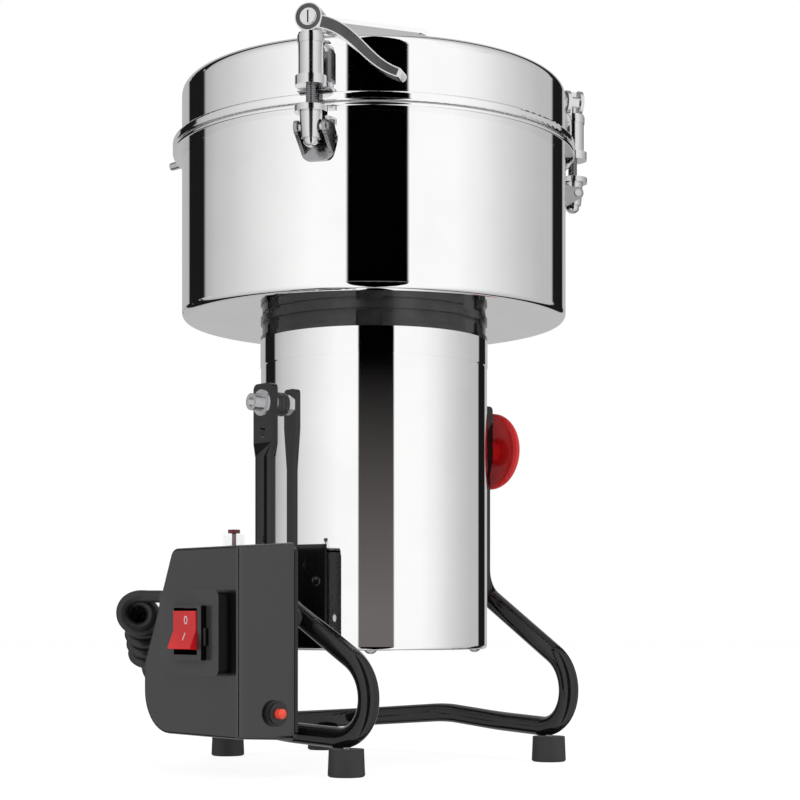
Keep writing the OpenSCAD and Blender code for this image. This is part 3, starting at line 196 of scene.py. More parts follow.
def smooth_line(points, step):
    """A line through all the points: between two of them a cubic whose slopes are those of the
    neighbouring chords."""
    p = np.asarray(points, float)
    p = np.vstack([2 * p[0] - p[1], p, 2 * p[-1] - p[-2]])
    t = np.linspace(0, 1, 24, endpoint=False)[:, None]
    out = []
    for a, b, c, d in zip(p, p[1:], p[2:], p[3:]):
        square, cube = (2 * a - 5 * b + 4 * c - d) * t**2, (3 * b - a - 3 * c + d) * t**3
        out.append(0.5 * (2 * b + (c - a) * t + square + cube))
    return even_steps(np.vstack(out + [p[-2:-1]]), step)


def lead_route():
    """From the box's gland into the coil, round a bent axis, and on to the motor. At a length l along the axis
    the lead is at radius x (cos a side + sin a up), with a = 90 degrees + 360 degrees x turns. Each step along
    the axis adds its length / pitch to the turns, and the pitch is smaller in the bend. The first third of a
    turn comes in from further out."""
    axis = filleted_route([COIL_TOP - COIL_IN * 4 * MM, COIL_KNEE, COIL_END], [0, COIL_BEND, 0], 0.4 * MM)
    tangent = np.gradient(axis, axis=0)
    tangent /= np.linalg.norm(tangent, axis=1, keepdims=True)
    length = np.concatenate([[0], np.cumsum(np.linalg.norm(np.diff(axis, axis=0), axis=1))])
    up, helix, turns, before = np.array([0.0, 0.0, 1.0]), [], 0.0, 0.0
    for point, t, l in zip(axis, tangent, length):
        turns += (l - before) / (COIL_PITCH - (BEND_SQUEEZE if BEND_SPAN[0] < l < BEND_SPAN[1] else 0.0))
        before = l
        up = up - t * (up @ t)
        up /= np.linalg.norm(up)
        a = math.pi / 2 + 2 * math.pi * turns
        r = COIL_MID_R + ENTRY_SPREAD * max(0.0, 1 - 3 * turns)
        helix.append(point + r * (np.cross(t, up) * math.cos(a) + up * math.sin(a)))
    into = [BOX_GLAND - BOX_GLAND_OUT * 4 * MM, BOX_GLAND + BOX_GLAND_OUT * 10 * MM,
            BOX_GLAND + BOX_GLAND_OUT * 19 * MM + np.array([-3, 0, -0.8]) * MM,
            COIL_TOP - COIL_IN * 4.2 * MM + RIGHT * 8 * MM + np.array([0, 0, 12.4]) * MM]
    away = [COIL_END + COIL_DOWN * 14 * MM, np.array([-92, 101, 58]) * MM,
            MOTOR_GLAND + MOTOR_GLAND_OUT * 34 * MM + np.array([0, 0, -9]) * MM,
            MOTOR_GLAND + MOTOR_GLAND_OUT * 20 * MM, MOTOR_GLAND + MOTOR_GLAND_OUT * 12 * MM, MOTOR_GLAND]
    return smooth_line(np.vstack([into, helix[0:-4:2], away]), 1.6 * MM)


def make_lead(finish):
    """The whole lead as one tube, in place of the plain coil and its two tails."""
    verts, faces = tube_along(lead_route(), LEAD_R)
    lead = mesh_piece("curly_lead", verts, faces, None, finish)
    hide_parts("cord_coil", "cord_tails")
    return lead


# ---------------------------------------------------------------- control box skin

BOX_BACK_X, BOX_FACE_X = -118.5 * MM, -164.4 * MM
BOX_OUTLINE = [(-59, 26, 3), (48.5, 26, 28), (48.5, 72, 14), (15, 149, 7), (-59, 149, 3)]   # y, z, radius (mm)
BOX_EDGE = 2.4 * MM                     # the radius round the face
BOX_BULGE = 0.5 * MM                    # of the face's middle
FLARE_UP, FLARE_DOWN = 3.2, 2.6         # at the back plate's top and bottom, mm


def rounded_outline(corners, per_corner=12):
    """Points and outward directions round a polygon whose corners are arcs: the arc's centre lies on the
    corner's bisector, at r / sin(half the corner's angle)."""
    points, out = [], []
    n = len(corners)
    for i in range(n):
        p, before, after = (np.array(corners[k % n][:2], float) for k in (i, i - 1, i + 1))
        r = corners[i][2]
        a, b = (before - p) / np.linalg.norm(before - p), (after - p) / np.linalg.norm(after - p)
        half = math.acos(float(a @ b)) / 2
        centre = p + (a + b) / np.linalg.norm(a + b) * r / math.sin(half)
        start = p + a * r / math.tan(half) - centre
        a0, turn = math.atan2(start[1], start[0]), math.pi - 2 * half
        for t in np.linspace(0, turn, per_corner):
            d = np.array([math.cos(a0 + t), math.sin(a0 + t)])
            points.append(centre + d * r)
            out.append(d)
    return np.array(points) * MM, np.array(out)


def make_box_skin(finish):
    """The box as a moulding: rows of one outline from the back plate to the face. Towards the back it flares up
    at the top and down at the bottom, in step with the depth; round the face it turns through a quarter circle,
    and the face bulges a little in the middle."""
    points, out = rounded_outline(BOX_OUTLINE)
    low, high = points[:, 1].min(), points[:, 1].max()
    rise = (points[:, 1] - low) / (high - low)
    centre = points.mean(axis=0)
    rows = []
    depth = BOX_BACK_X - BOX_FACE_X

    def row(x, inwards, towards_middle=0.0):
        back = (x - BOX_FACE_X) / depth
        yz = points - out * inwards
        yz = yz + (centre - yz) * towards_middle
        z = yz[:, 1] + back * MM * (FLARE_UP * rise - FLARE_DOWN * (1 - rise)) * (1 - towards_middle)
        rows.append(np.stack([np.full(len(z), x), yz[:, 0], z], -1))

    row(BOX_BACK_X, 1.6 * MM)
    row(BOX_BACK_X, 0.6 * MM)
    row(BOX_BACK_X - 0.4 * MM, 0.1 * MM)
    for share in np.linspace(0.02, 1, 9):
        row(BOX_BACK_X - 0.4 * MM + share * (BOX_FACE_X + BOX_EDGE - BOX_BACK_X + 0.4 * MM), 0.0)
    for turn in np.linspace(0, math.pi / 2, 7)[1:]:
        row(BOX_FACE_X + BOX_EDGE * (1 - math.sin(turn)), BOX_EDGE * (1 - math.cos(turn)))
    for share in (0.05, 0.3, 0.65):
        row(BOX_FACE_X - BOX_BULGE * (1 - (1 - share) ** 2), BOX_EDGE, share)
    count = len(points)
    verts = np.concatenate(rows)
    faces = grid_faces(len(rows), count)[:, ::-1].tolist()
    last = (len(rows) - 1) * count
    verts = np.vstack([verts, [BOX_FACE_X - BOX_BULGE, *centre]])
    for j in range(count):
        faces.append([len(verts) - 1, last + (j + 1) % count, last + j][::-1])
    skin = mesh_piece("control_box_skin", verts, faces, "stand", finish)
    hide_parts("control_box")


# ---------------------------------------------------------------- rocker marks, threads and the levers' painted reflection

ROCKER_FACE_X = -179.35 * MM
ROCKER_MIDDLE = np.array([-23.0, 94.9]) * MM          # y and z of the fold between the key's two faces
ROCKER_SLOPE = math.radians(22)                       # by which the lower face falls outwards
MARK_LIFT = 0.06 * MM                                 # of the marks in front of the key
STROKE_HALF = 0.4                                     # half a mark's stroke, mm
RING_HALF, RING_UP = (1.5, 2.3), 6.8                  # half its width and height, and its middle's place, mm
BAR_TOP, BAR_FOOT = 1.5, 6.7                          # down the lower face from the fold, mm


def make_rocker_marks(finish):
    """A ring on the key's upper face, an ellipse drawn with a flat stroke, and a bar down its lower face."""
    around = 40
    u = np.arange(around) * 2 * math.pi / around
    front, (middle_y, middle_z) = ROCKER_FACE_X - MARK_LIFT, ROCKER_MIDDLE
    verts = []
    for grow in (-STROKE_HALF, STROKE_HALF):
        verts.append(np.stack([np.full(around, front), middle_y + (RING_HALF[0] + grow) * MM * np.cos(u),
                               middle_z + RING_UP * MM + (RING_HALF[1] + grow) * MM * np.sin(u)], -1))
    faces = grid_faces(2, around).tolist()
    verts = np.concatenate(verts)
    bar = []
    for side, down in ((-1, BAR_TOP), (1, BAR_TOP), (1, BAR_FOOT), (-1, BAR_FOOT)):
        bar.append([front - down * MM * math.sin(ROCKER_SLOPE), middle_y + side * STROKE_HALF * MM,
                    middle_z - down * MM * math.cos(ROCKER_SLOPE)])
    faces.append([len(verts) + k for k in range(4)])
    marks = mesh_piece("rocker_marks", np.vstack([verts, bar]), faces, "rocker", finish, smooth=False)


CLAMP_AZIMUTHS = (-56, 64, 184)         # degrees from the front
CLAMP_R = 152 * MM                      # from the bowl's axis to a rod's
CAM_Z = 484 * MM                        # the height of a lever's pin
LEVER_CURVE = np.array([(4, -3), (30, -7), (36, -31), (58.5, -39.8)]) * MM   # along and up from the pin
ARM_HALF = (3.6, 2.2)                   # half the painted reflection's width at the arm's root and at its tip, mm
REFLECTION_RING = (5.5 * MM, 8.3 * MM)       # the painted reflection ring's inner and outer radius
STRIP_OUT, RING_OUT = 6.14 * MM, 6.10 * MM    # from the lever's middle to the painted reflection
THREAD_ROOT, THREAD_DEPTH, THREAD_PITCH = 3.02, 0.36, 1.25    # mm
THREAD_LOW, THREAD_HIGH = 427.5, 441.6  # the heights it runs between, mm


def make_thread(k, finish):
    """The thread on a tie rod, between its flange and the sleeve: at the height z and the angle a the radius is
    root + depth x (1 - |2 s - 1|), where s is the part of z / pitch - a / 360 degrees after the point."""
    azimuth = math.radians(CLAMP_AZIMUTHS[k])
    middle = np.array([math.sin(azimuth), -math.cos(azimuth), 0]) * CLAMP_R
    rows, around = 90, 24
    z = np.linspace(THREAD_LOW, THREAD_HIGH, rows)[:, None]
    a = np.arange(around)[None, :] * 2 * math.pi / around
    s = np.mod(z / THREAD_PITCH - a / (2 * math.pi), 1)
    r = (THREAD_ROOT + THREAD_DEPTH * (1 - np.abs(2 * s - 1))) * MM
    verts = middle + np.stack([r * np.cos(a), r * np.sin(a), z * MM + 0 * a], -1).reshape(-1, 3)
    thread = mesh_piece(f"rod_thread_{k + 1}", verts, grid_faces(rows, around), f"rod_{k + 1}", finish)


def make_lever_painted_reflection(k, finish):
    """Dark panels on both faces of a lever, a painted reflection, inside its bright edges, which so show as a
    painted
    highlight: a ring round the pin, and a strip along the cubic Bezier curve of the arm, just in front of the
    metal."""
    azimuth = math.radians(CLAMP_AZIMUTHS[k])
    along = np.array([math.cos(azimuth), math.sin(azimuth), 0])
    outward = np.array([math.sin(azimuth), -math.cos(azimuth), 0])
    up = np.array([0, 0, 1.0])
    a, b, c, d = LEVER_CURVE
    verts, faces = [], []
    count = 28
    t = np.linspace(0.06, 1.0, count)[:, None]
    line = a * (1 - t) ** 3 + 3 * b * t * (1 - t) ** 2 + 3 * c * t * t * (1 - t) + d * t**3
    way = (b - a) * (1 - t) ** 2 + 2 * (c - b) * t * (1 - t) + (d - c) * t * t
    way /= np.linalg.norm(way, axis=1, keepdims=True)
    across = np.stack([-way[:, 1], way[:, 0]], -1)
    half = (ARM_HALF[0] + (ARM_HALF[1] - ARM_HALF[0]) * t) * MM
    around = 40
    u = np.arange(around)[:, None] * 2 * math.pi / around
    for side in (1, -1):
        first = len(verts)
        plane = outward * (CLAMP_R + side * STRIP_OUT)
        for edge in (1, -1):
            flat = line + edge * across * half
            verts.extend(flat[:, :1] * along + flat[:, 1:] * up + plane + up * CAM_Z)
        for j in range(count - 1):
            quad = [first + j, first + j + 1, first + count + j + 1, first + count + j]
            faces.append(quad if side < 0 else quad[::-1])
        first = len(verts)
        plane = outward * (CLAMP_R + side * RING_OUT)
        for r in REFLECTION_RING:
            verts.extend(r * np.cos(u) * along + r * np.sin(u) * up + plane + up * CAM_Z)
        ring = (grid_faces(2, around) + first).tolist()
        faces += ring if side < 0 else [q[::-1] for q in ring]
    panel = mesh_piece(f"lever_painted_reflection_{k + 1}", verts, faces, f"lever_{k + 1}", finish)
    panel.visible_glossy = False


# ---------------------------------------------------------------- shared effects


def new_group(name, inputs, outputs):
    """An empty node group with its sockets; each is a name, a kind and a default value."""
    group = bpy.data.node_groups.new(name, "ShaderNodeTree")
    for label, kind, value in inputs:
        socket = group.interface.new_socket(name=label, in_out="INPUT", socket_type="NodeSocket" + kind)
        if value is not None:
            socket.default_value = value
    for label, kind in outputs:
        group.interface.new_socket(name=label, in_out="OUTPUT", socket_type="NodeSocket" + kind)
    ins = group.nodes.new("NodeGroupInput")
    outs = group.nodes.new("NodeGroupOutput")
    return group, ins, outs


def node(tree, kind, **settings):
    """A node of one kind; a setting is an attribute, or an input where its name starts with in_."""
    made = tree.nodes.new("ShaderNode" + kind)
    for key, value in settings.items():
        if key.startswith("in_"):
            made.inputs[key[3:].replace("_", " ")].default_value = value
        else:
            setattr(made, key, value)
    return made


def smudge_group():
    """Roughness that drifts with the marks that hands and cloths leave: a base plus a share of noise."""
    group, ins, outs = new_group(
        "handling_marks",
        [("Place", "Vector", None), ("Base", "Float", 0.2), ("Spread", "Float", 0.1), ("Scale", "Float", 30.0)],
        [("Roughness", "Float")],
    )
    noise = node(group, "TexNoise", in_Detail=6.0, in_Roughness=0.62)
    centre = node(group, "Math", operation="SUBTRACT")
    centre.inputs[1].default_value = 0.45
    times = node(group, "Math", operation="MULTIPLY")
    plus = node(group, "Math", operation="ADD", use_clamp=True)
    link = group.links.new
    link(ins.outputs["Place"], noise.inputs["Vector"])
    link(ins.outputs["Scale"], noise.inputs["Scale"])
    link(noise.outputs["Fac"], centre.inputs[0])
    link(centre.outputs[0], times.inputs[0])
    link(ins.outputs["Spread"], times.inputs[1])
    link(times.outputs[0], plus.inputs[0])
    link(ins.outputs["Base"], plus.inputs[1])
    link(plus.outputs[0], outs.inputs["Roughness"])
    return group


def tone_group():
    """A colour that drifts between two near tones, as dye, paint and polish do."""
    group, ins, outs = new_group(
        "drifting_tone",
        [("Place", "Vector", None), ("Tone", "Color", (0.5, 0.5, 0.5, 1)),
         ("Other tone", "Color", (0.4, 0.4, 0.4, 1)), ("Scale", "Float", 20.0)],
        [("Color", "Color")],
    )
    noise = node(group, "TexNoise", in_Detail=4.0, in_Roughness=0.55)
    ramp = node(group, "MapRange", interpolation_type="SMOOTHSTEP", in_From_Min=0.35, in_From_Max=0.68)
    mix = node(group, "Mix", data_type="RGBA")
    link = group.links.new
    link(ins.outputs["Place"], noise.inputs["Vector"])
    link(ins.outputs["Scale"], noise.inputs["Scale"])
    link(noise.outputs["Fac"], ramp.inputs["Value"])
    link(ramp.outputs["Result"], mix.inputs["Factor"])
    link(ins.outputs["Tone"], mix.inputs["A"])
    link(ins.outputs["Other tone"], mix.inputs["B"])
    link(mix.outputs["Result"], outs.inputs["Color"])
    return group


def grain_group():
    """The height of a moulded or sprayed skin: fine cells on a slower wave, each with its own share."""
    group, ins, outs = new_group(
        "moulded_grain",
        [("Place", "Vector", None), ("Cell scale", "Float", 900.0), ("Wave scale", "Float", 25.0),
         ("Wave share", "Float", 0.3)],
        [("Height", "Float")],
    )
    cells = node(group, "TexVoronoi", feature="SMOOTH_F1")
    wave = node(group, "TexNoise", in_Detail=2.0)
    mix = node(group, "Mix", data_type="FLOAT")
    link = group.links.new
    link(ins.outputs["Place"], cells.inputs["Vector"])
    link(ins.outputs["Place"], wave.inputs["Vector"])
    link(ins.outputs["Cell scale"], cells.inputs["Scale"])
    link(ins.outputs["Wave scale"], wave.inputs["Scale"])
    link(ins.outputs["Wave share"], mix.inputs["Factor"])
    link(cells.outputs["Distance"], mix.inputs["A"])
    link(wave.outputs["Fac"], mix.inputs["B"])
    link(mix.outputs["Result"], outs.inputs["Height"])
    return group


def drawn_group():
    """The height of lines that a tool leaves: noise stretched out along two axes by a set of scales."""
    group, ins, outs = new_group(
        "tool_lines", [("Place", "Vector", None), ("Scales", "Vector", (1, 1, 1))], [("Height", "Float")])
    stretch = node(group, "VectorMath", operation="MULTIPLY")
    noise = node(group, "TexNoise", in_Scale=1.0, in_Detail=3.0, in_Roughness=0.7)
    link = group.links.new
    link(ins.outputs["Place"], stretch.inputs[0])
    link(ins.outputs["Scales"], stretch.inputs[1])
    link(stretch.outputs[0], noise.inputs["Vector"])
    link(noise.outputs["Fac"], outs.inputs["Height"])
    return group


MARKS, TONES, GRAIN, LINES = smudge_group(), tone_group(), grain_group(), drawn_group()


def finish(name, tone, other, rough, spread, scale=30.0, metallic=0.0, grain=None, lines=None, strength=0.1,
           tone_scale=20.0, **sockets):
    """A material: two near tones, roughness with handling marks, and a skin of grain or of tool lines."""
    made = bpy.data.materials.new(name)
    made.use_nodes = True
    tree = made.node_tree
    shader = tree.nodes["Principled BSDF"]
    place = node(tree, "TexCoord").outputs["Object"]
    link = tree.links.new

    def use(group, **values):
        used = tree.nodes.new("ShaderNodeGroup")
        used.node_tree = group
        link(place, used.inputs["Place"])
        for key, value in values.items():
            used.inputs[key.replace("_", " ")].default_value = value
        return used

    colours = use(TONES, Tone=(*tone, 1), Other_tone=(*other, 1), Scale=tone_scale)
    link(colours.outputs["Color"], shader.inputs["Base Color"])
    marks = use(MARKS, Base=rough, Spread=spread, Scale=scale)
    link(marks.outputs["Roughness"], shader.inputs["Roughness"])
    shader.inputs["Metallic"].default_value = metallic
    for key, value in sockets.items():
        shader.inputs[key.replace("_", " ")].default_value = value
    if grain or lines:
        skin = use(GRAIN, **grain) if grain else use(LINES, Scales=lines)
        bump = node(tree, "Bump", in_Strength=strength, in_Distance=0.0004)
        link(skin.outputs["Height"], bump.inputs["Height"])
        link(bump.outputs["Normal"], shader.inputs["Normal"])
    return made


def paint_wall_shade(made):
    """The same finish, but with painted shade on the walls that face the front: nearly black there, and with
    less specular.
    """
    tree = made.node_tree
    link = tree.links.new
    shader = tree.nodes["Principled BSDF"]
    colour = shader.inputs["Base Color"].links[0].from_socket
    # painted shade: the walls that face the front are mixed towards near black, with less specular
    split = node(tree, "SeparateXYZ")
    wall_shade = node(tree, "MapRange", in_From_Min=0.6, in_From_Max=0.8)
    back = node(tree, "Math", operation="MULTIPLY")
    back.inputs[1].default_value = -1.0
    mix = node(tree, "Mix", data_type="RGBA", in_B=(0.003, 0.003, 0.003, 1))
    shine = node(tree, "MapRange", in_To_Min=0.5, in_To_Max=0.1)
    link(node(tree, "NewGeometry").outputs["Normal"], split.inputs["Vector"])
    link(split.outputs["Y"], back.inputs[0])
    link(back.outputs[0], wall_shade.inputs["Value"])
    link(wall_shade.outputs["Result"], mix.inputs["Factor"])
    link(wall_shade.outputs["Result"], shine.inputs["Value"])
    link(colour, mix.inputs["A"])
    link(mix.outputs["Result"], shader.inputs["Base Color"])
    link(shine.outputs["Result"], shader.inputs["Specular IOR Level"])
    return made


# ---------------------------------------------------------------- finishes

FINISHES = {
    "polished_steel": finish("polished_steel", (0.96, 0.96, 0.965), (0.93, 0.93, 0.94), 0.035, 0.04, 14, 1.0,
                             lines=(3, 3, 900), strength=0.006),
    "polished_rod": finish("polished_rod", (0.72, 0.72, 0.73), (0.66, 0.66, 0.68), 0.14, 0.10, 60, 1.0,
                           lines=(900, 900, 30), strength=0.05),
    "zinc_steel": finish("zinc_steel", (0.66, 0.66, 0.67), (0.55, 0.55, 0.57), 0.24, 0.15, 90, 1.0,
                         lines=(700, 700, 90), strength=0.08),
    "thread_steel": finish("thread_steel", (0.26, 0.26, 0.27), (0.20, 0.20, 0.21), 0.26, 0.15, 90, 1.0,
                           lines=(700, 700, 90), strength=0.08),
    "bearing_steel": finish("bearing_steel", (0.55, 0.55, 0.57), (0.48, 0.48, 0.50), 0.25, 0.15, 60, 1.0,
                            lines=(500, 500, 60), strength=0.08),
    "blade_steel": finish("blade_steel", (0.63, 0.63, 0.65), (0.57, 0.57, 0.59), 0.22, 0.16, 60, 1.0,
                          lines=(700, 60, 700), strength=0.12),
    "core_steel": finish("core_steel", (0.30, 0.29, 0.28), (0.22, 0.21, 0.21), 0.45, 0.2, 50, 1.0,
                         lines=(8, 8, 2200), strength=0.25),
    "copper": finish("copper", (0.55, 0.22, 0.09), (0.42, 0.15, 0.06), 0.32, 0.15, 50, 1.0,
                     lines=(900, 40, 900), strength=0.25),
    "black_gloss": finish("black_gloss", (0.004, 0.004, 0.0045), (0.006, 0.006, 0.0065), 0.12, 0.06, 30,
                          grain=dict(Cell_scale=420.0, Wave_scale=60.0, Wave_share=0.55), strength=0.05),
    "dark_plastic": finish("dark_plastic", (0.016, 0.016, 0.017), (0.022, 0.022, 0.023), 0.36, 0.15, 60,
                           grain=dict(Cell_scale=1500.0, Wave_scale=40.0, Wave_share=0.3), strength=0.12),
    "cast_bright": finish("cast_bright", (0.36, 0.36, 0.37), (0.30, 0.30, 0.31), 0.20, 0.14, 80, 1.0,
                          grain=dict(Cell_scale=700.0, Wave_scale=120.0, Wave_share=0.6), strength=0.06),
    "cast_dark": finish("cast_dark", (0.085, 0.085, 0.088), (0.045, 0.045, 0.047), 0.22, 0.14, 60, 0.6,
                        grain=dict(Cell_scale=700.0, Wave_scale=120.0, Wave_share=0.6), strength=0.08),
    "box_plastic": finish("box_plastic", (0.007, 0.007, 0.0075), (0.005, 0.005, 0.0055), 0.15, 0.07, 40,
                          grain=dict(Cell_scale=1700.0, Wave_scale=22.0, Wave_share=0.3), strength=0.06,
                          Specular_IOR_Level=1.0),
    # the switch plate and its bezel, with painted shade on their walls that face the front
    "plate_plastic_wall_shade": paint_wall_shade(
        finish("plate_plastic_wall_shade", (0.034, 0.034, 0.035), (0.029, 0.029, 0.030), 0.20, 0.08, 40,
               grain=dict(Cell_scale=1700.0, Wave_scale=22.0, Wave_share=0.3), strength=0.10)),
    "rubber": finish("rubber", (0.030, 0.030, 0.031), (0.022, 0.022, 0.023), 0.62, 0.2, 60,
                     grain=dict(Cell_scale=1300.0, Wave_scale=40.0, Wave_share=0.4), strength=0.25),
    "lead_rubber": finish("lead_rubber", (0.018, 0.018, 0.019), (0.013, 0.013, 0.014), 0.38, 0.15, 60,
                          grain=dict(Cell_scale=1200.0, Wave_scale=60.0, Wave_share=0.5), strength=0.1),
    "seal_rubber": finish("seal_rubber", (0.62, 0.62, 0.60), (0.55, 0.55, 0.53), 0.5, 0.15, 60,
                          grain=dict(Cell_scale=900.0, Wave_scale=40.0, Wave_share=0.4), strength=0.1),
    "rocker_red": finish("rocker_red", (0.62, 0.014, 0.016), (0.46, 0.008, 0.010), 0.14, 0.10, 60,
                         grain=dict(Cell_scale=1600.0, Wave_scale=60.0, Wave_share=0.3), strength=0.06,
                         Subsurface_Weight=0.05),
    "reset_red": finish("reset_red", (0.85, 0.08, 0.045), (0.75, 0.06, 0.035), 0.25, 0.12, 90,
                        grain=dict(Cell_scale=1600.0, Wave_scale=60.0, Wave_share=0.3), strength=0.06),
    "knob_red": finish("knob_red", (0.72, 0.012, 0.014), (0.60, 0.010, 0.011), 0.22, 0.10, 60,
                       grain=dict(Cell_scale=1400.0, Wave_scale=50.0, Wave_share=0.3), strength=0.08),
    "maroon_plastic": finish("maroon_plastic", (0.12, 0.012, 0.02), (0.09, 0.01, 0.016), 0.3, 0.12, 90,
                             grain=dict(Cell_scale=1600.0, Wave_scale=60.0, Wave_share=0.3), strength=0.06),
    "clear_plastic": finish("clear_plastic", (0.86, 0.89, 0.90), (0.82, 0.86, 0.88), 0.15, 0.1, 60,
                            grain=dict(Cell_scale=1200.0, Wave_scale=60.0, Wave_share=0.5), strength=0.1,
                            Alpha=0.07),
    "board": finish("board", (0.02, 0.14, 0.055), (0.015, 0.10, 0.04), 0.4, 0.15, 60,
                    lines=(300, 300, 40), strength=0.15),
    "carbon": finish("carbon", (0.03, 0.03, 0.03), (0.02, 0.02, 0.02), 0.6, 0.2, 60,
                     grain=dict(Cell_scale=1500.0, Wave_scale=60.0, Wave_share=0.3), strength=0.2),
}


# a few solids are buffed brighter than their slot, or have painted shade on their side walls; on the cam levers
# the bright metal round the dark face panels is a painted edge highlight
OWN_FINISH = {"lid_handle": "polished_steel", "cam_lever_1": "polished_rod", "cam_lever_2": "polished_rod",
              "cam_lever_3": "polished_rod", "switch_plate": "plate_plastic_wall_shade", "switch_body": "plate_plastic_wall_shade"}
# the motor's barrel and the bowl are to mirror the room alone, and none of these
NOT_MIRRORED = ("cam_lever_1", "cam_lever_2", "cam_lever_3", "pivot_arm_left", "pivot_arm_right", "tube_frame",
                "pivot_bolts", "pivot_washers", "pivot_spacers")


def dress_nodes():
    """Every solid takes its own finish, or that of its slot in the record."""
    for part in frame["record"]["subparts"]:
        solid = NODES[part["node"]]
        solid.data.materials.clear()
        solid.data.materials.append(FINISHES[OWN_FINISH.get(part["node"], part["material_slot"])])
    for name in NOT_MIRRORED:
        NODES[name].visible_glossy = False


dress_nodes()
make_box_skin(FINISHES["box_plastic"])
make_rocker_marks(FINISHES["seal_rubber"])
# the levers' dark face panels are a painted reflection; the polished metal left round them is a painted edge
# highlight
for clamp in range(3):
    make_thread(clamp, FINISHES["thread_steel"])
    make_lever_painted_reflection(clamp, FINISHES["cast_dark"])
lead = make_lead(FINISHES["lead_rubber"])
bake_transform(lead)

# ---------------------------------------------------------------- studio


def build_world():
    """A white room for diffuse light and for the eye. What polished metal mirrors is a room of greys by the
    angle around the object, with a wide dark stretch and two narrower ones."""
    world = bpy.data.worlds.new("room")
    bpy.context.scene.world = world
    world.use_nodes = True
    tree = world.node_tree
    tree.nodes.clear()
    link = tree.links.new
    place = node(tree, "TexCoord").outputs["Generated"]
    turned = node(tree, "VectorRotate", rotation_type="Z_AXIS")
    turned.inputs["Angle"].default_value = math.pi / 2 + VIEW_AZIMUTH
    split = node(tree, "SeparateXYZ")
    angle = node(tree, "Math", operation="ARCTAN2")
    share = node(tree, "MapRange", in_From_Min=-math.pi, in_From_Max=math.pi)
    bands = node(tree, "ValToRGB")
    link(place, turned.inputs["Vector"])
    link(turned.outputs["Vector"], split.inputs["Vector"])
    link(split.outputs["Y"], angle.inputs[0])
    link(split.outputs["X"], angle.inputs[1])
    link(angle.outputs[0], share.inputs["Value"])
    link(share.outputs["Result"], bands.inputs["Fac"])
    stops = [   # degrees round from the view, and how bright the room is there
        (-180, 0.5), (-143, 0.46), (-141, 0.01), (-118.5, 0.01), (-116.5, 0.44), (-105, 0.55), (-90, 0.63),
        (-72, 0.77), (-55, 0.88), (-36, 1.0), (-15.4, 1.0), (-14.4, 0.0), (20, 0.0), (21, 1.0), (49, 1.0),
        (65, 0.89), (80, 0.73), (96, 0.61), (115, 0.52), (131.5, 0.5), (133, 0.01), (153, 0.01), (155, 0.5),
        (180, 0.5),
    ]
    ramp = bands.color_ramp
    while len(ramp.elements) > 1:
        ramp.elements.remove(ramp.elements[-1])
    for k, (degrees, level) in enumerate(stops):
        at = (degrees + 180) / 360
        stop = ramp.elements[0] if k == 0 else ramp.elements.new(at)
        stop.position = at
        stop.color = (level, level, level * 0.99, 1)
    rays = node(tree, "LightPath")
    room = node(tree, "Background")
    room.inputs["Color"].default_value = (1, 1, 1, 1)
    room.inputs["Strength"].default_value = 0.62
    mirrored = node(tree, "Background")
    mirrored.inputs["Strength"].default_value = 1.0
    seen = node(tree, "Background")
    seen.inputs["Color"].default_value = (1, 1, 1, 1)
    # low down, the dark stretch ahead pales to a warm grey
    pale = node(tree, "MapRange", in_From_Min=0.0, in_From_Max=0.14, in_To_Min=0.15, in_To_Max=0.0)
    above = node(tree, "MapRange", in_From_Min=-0.06, in_From_Max=-0.02)
    ahead = node(tree, "Math", operation="COMPARE")
    ahead.inputs[1].default_value, ahead.inputs[2].default_value = 0.05, 0.8
    low = node(tree, "Math", operation="MULTIPLY")
    warm = node(tree, "Mix", data_type="RGBA", in_A=(0, 0, 0, 1), in_B=(1, 0.92, 0.89, 1))
    lighter = node(tree, "Mix", data_type="RGBA", blend_type="LIGHTEN")
    lighter.inputs["Factor"].default_value = 1.0
    link(split.outputs["Z"], pale.inputs["Value"])
    link(split.outputs["Z"], above.inputs["Value"])
    upper = node(tree, "Math", operation="MULTIPLY")
    link(above.outputs["Result"], upper.inputs[1])
    link(angle.outputs[0], ahead.inputs[0])
    link(pale.outputs["Result"], low.inputs[0])
    link(ahead.outputs[0], low.inputs[1])
    link(low.outputs[0], upper.inputs[0])
    link(upper.outputs[0], warm.inputs["Factor"])
    link(bands.outputs["Color"], lighter.inputs["A"])
    link(warm.outputs["Result"], lighter.inputs["B"])
    link(lighter.outputs["Result"], mirrored.inputs["Color"])
    glossy = node(tree, "MixShader")
    eye = node(tree, "MixShader")
    link(rays.outputs["Is Glossy Ray"], glossy.inputs[0])
    link(room.outputs[0], glossy.inputs[1])
    link(mirrored.outputs[0], glossy.inputs[2])
    link(rays.outputs["Is Camera Ray"], eye.inputs[0])
    link(glossy.outputs[0], eye.inputs[1])
    link(seen.outputs[0], eye.inputs[2])
    link(eye.outputs[0], node(tree, "OutputWorld").inputs["Surface"])


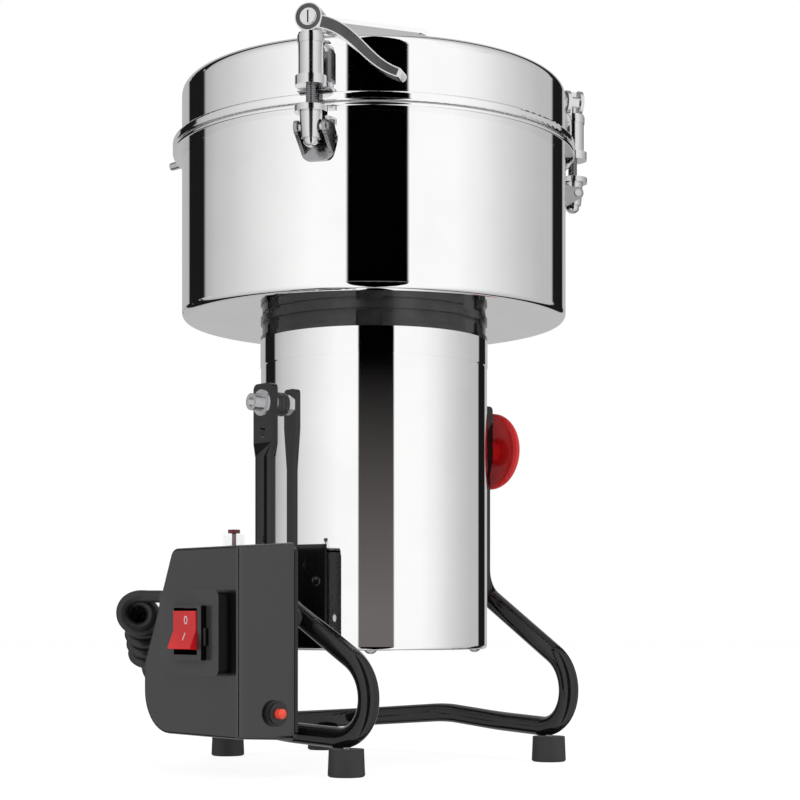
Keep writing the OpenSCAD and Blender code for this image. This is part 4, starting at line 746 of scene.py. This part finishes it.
def build_floor():
    """A pale floor, seen as nearly white, that keeps a little of the object's shadow; polished metal mirrors
    the room through it."""
    half = 6.0
    verts = [(-half, -half, 0), (half, -half, 0), (half, half, 0), (-half, half, 0)]
    made = bpy.data.materials.new("pale_floor")
    made.use_nodes = True
    tree = made.node_tree
    shader = tree.nodes["Principled BSDF"]
    shader.inputs["Base Color"].default_value = (0.86, 0.86, 0.86, 1)
    shader.inputs["Roughness"].default_value = 0.6
    shader.inputs["Specular IOR Level"].default_value = 0.0
    glow = node(tree, "Emission", in_Color=(1, 1, 1, 1), in_Strength=1.08)
    rays = node(tree, "LightPath")
    share = node(tree, "Math", operation="MULTIPLY")
    share.inputs[1].default_value = 0.84
    seen = node(tree, "MixShader")
    tree.links.new(rays.outputs["Is Camera Ray"], share.inputs[0])
    tree.links.new(share.outputs[0], seen.inputs[0])
    tree.links.new(shader.outputs[0], seen.inputs[1])
    tree.links.new(glow.outputs[0], seen.inputs[2])
    mirrored = node(tree, "MixShader")
    tree.links.new(rays.outputs["Is Glossy Ray"], mirrored.inputs[0])
    tree.links.new(seen.outputs[0], mirrored.inputs[1])
    tree.links.new(node(tree, "BsdfTransparent").outputs[0], mirrored.inputs[2])
    tree.links.new(mirrored.outputs[0], tree.nodes["Material Output"].inputs["Surface"])
    floor = mesh_piece("floor", verts, [(0, 1, 2, 3)], None, made, smooth=False)


def area_light(name, place, aim, size, power):
    """A soft box that points from its place to its aim, and that metal doesn't mirror."""
    lamp = bpy.data.objects.new(name, bpy.data.lights.new(name, "AREA"))
    bpy.context.scene.collection.objects.link(lamp)
    lamp.location = place
    d = np.asarray(place, float) - np.asarray(aim, float)
    d /= np.linalg.norm(d)
    lamp.rotation_euler = (math.acos(d[2]), 0, math.atan2(d[1], d[0]) + math.pi / 2)
    lamp.data.shape = "RECTANGLE"
    lamp.data.size, lamp.data.size_y = size
    lamp.data.energy = power
    lamp.visible_glossy = False


build_world()
build_floor()
area_light("overhead", (0.2, -0.1, 2.2), (0, 0, 0.2), (1.6, 1.6), 26)
area_light("left_front", (-1.9, -0.9, 1.5), (0, 0, 0.25), (0.9, 1.4), 20)
area_light("right_front", (1.2, -1.8, 1.2), (0, 0, 0.25), (0.7, 1.2), 10)

bpy.context.scene.view_settings.view_transform = "Standard"
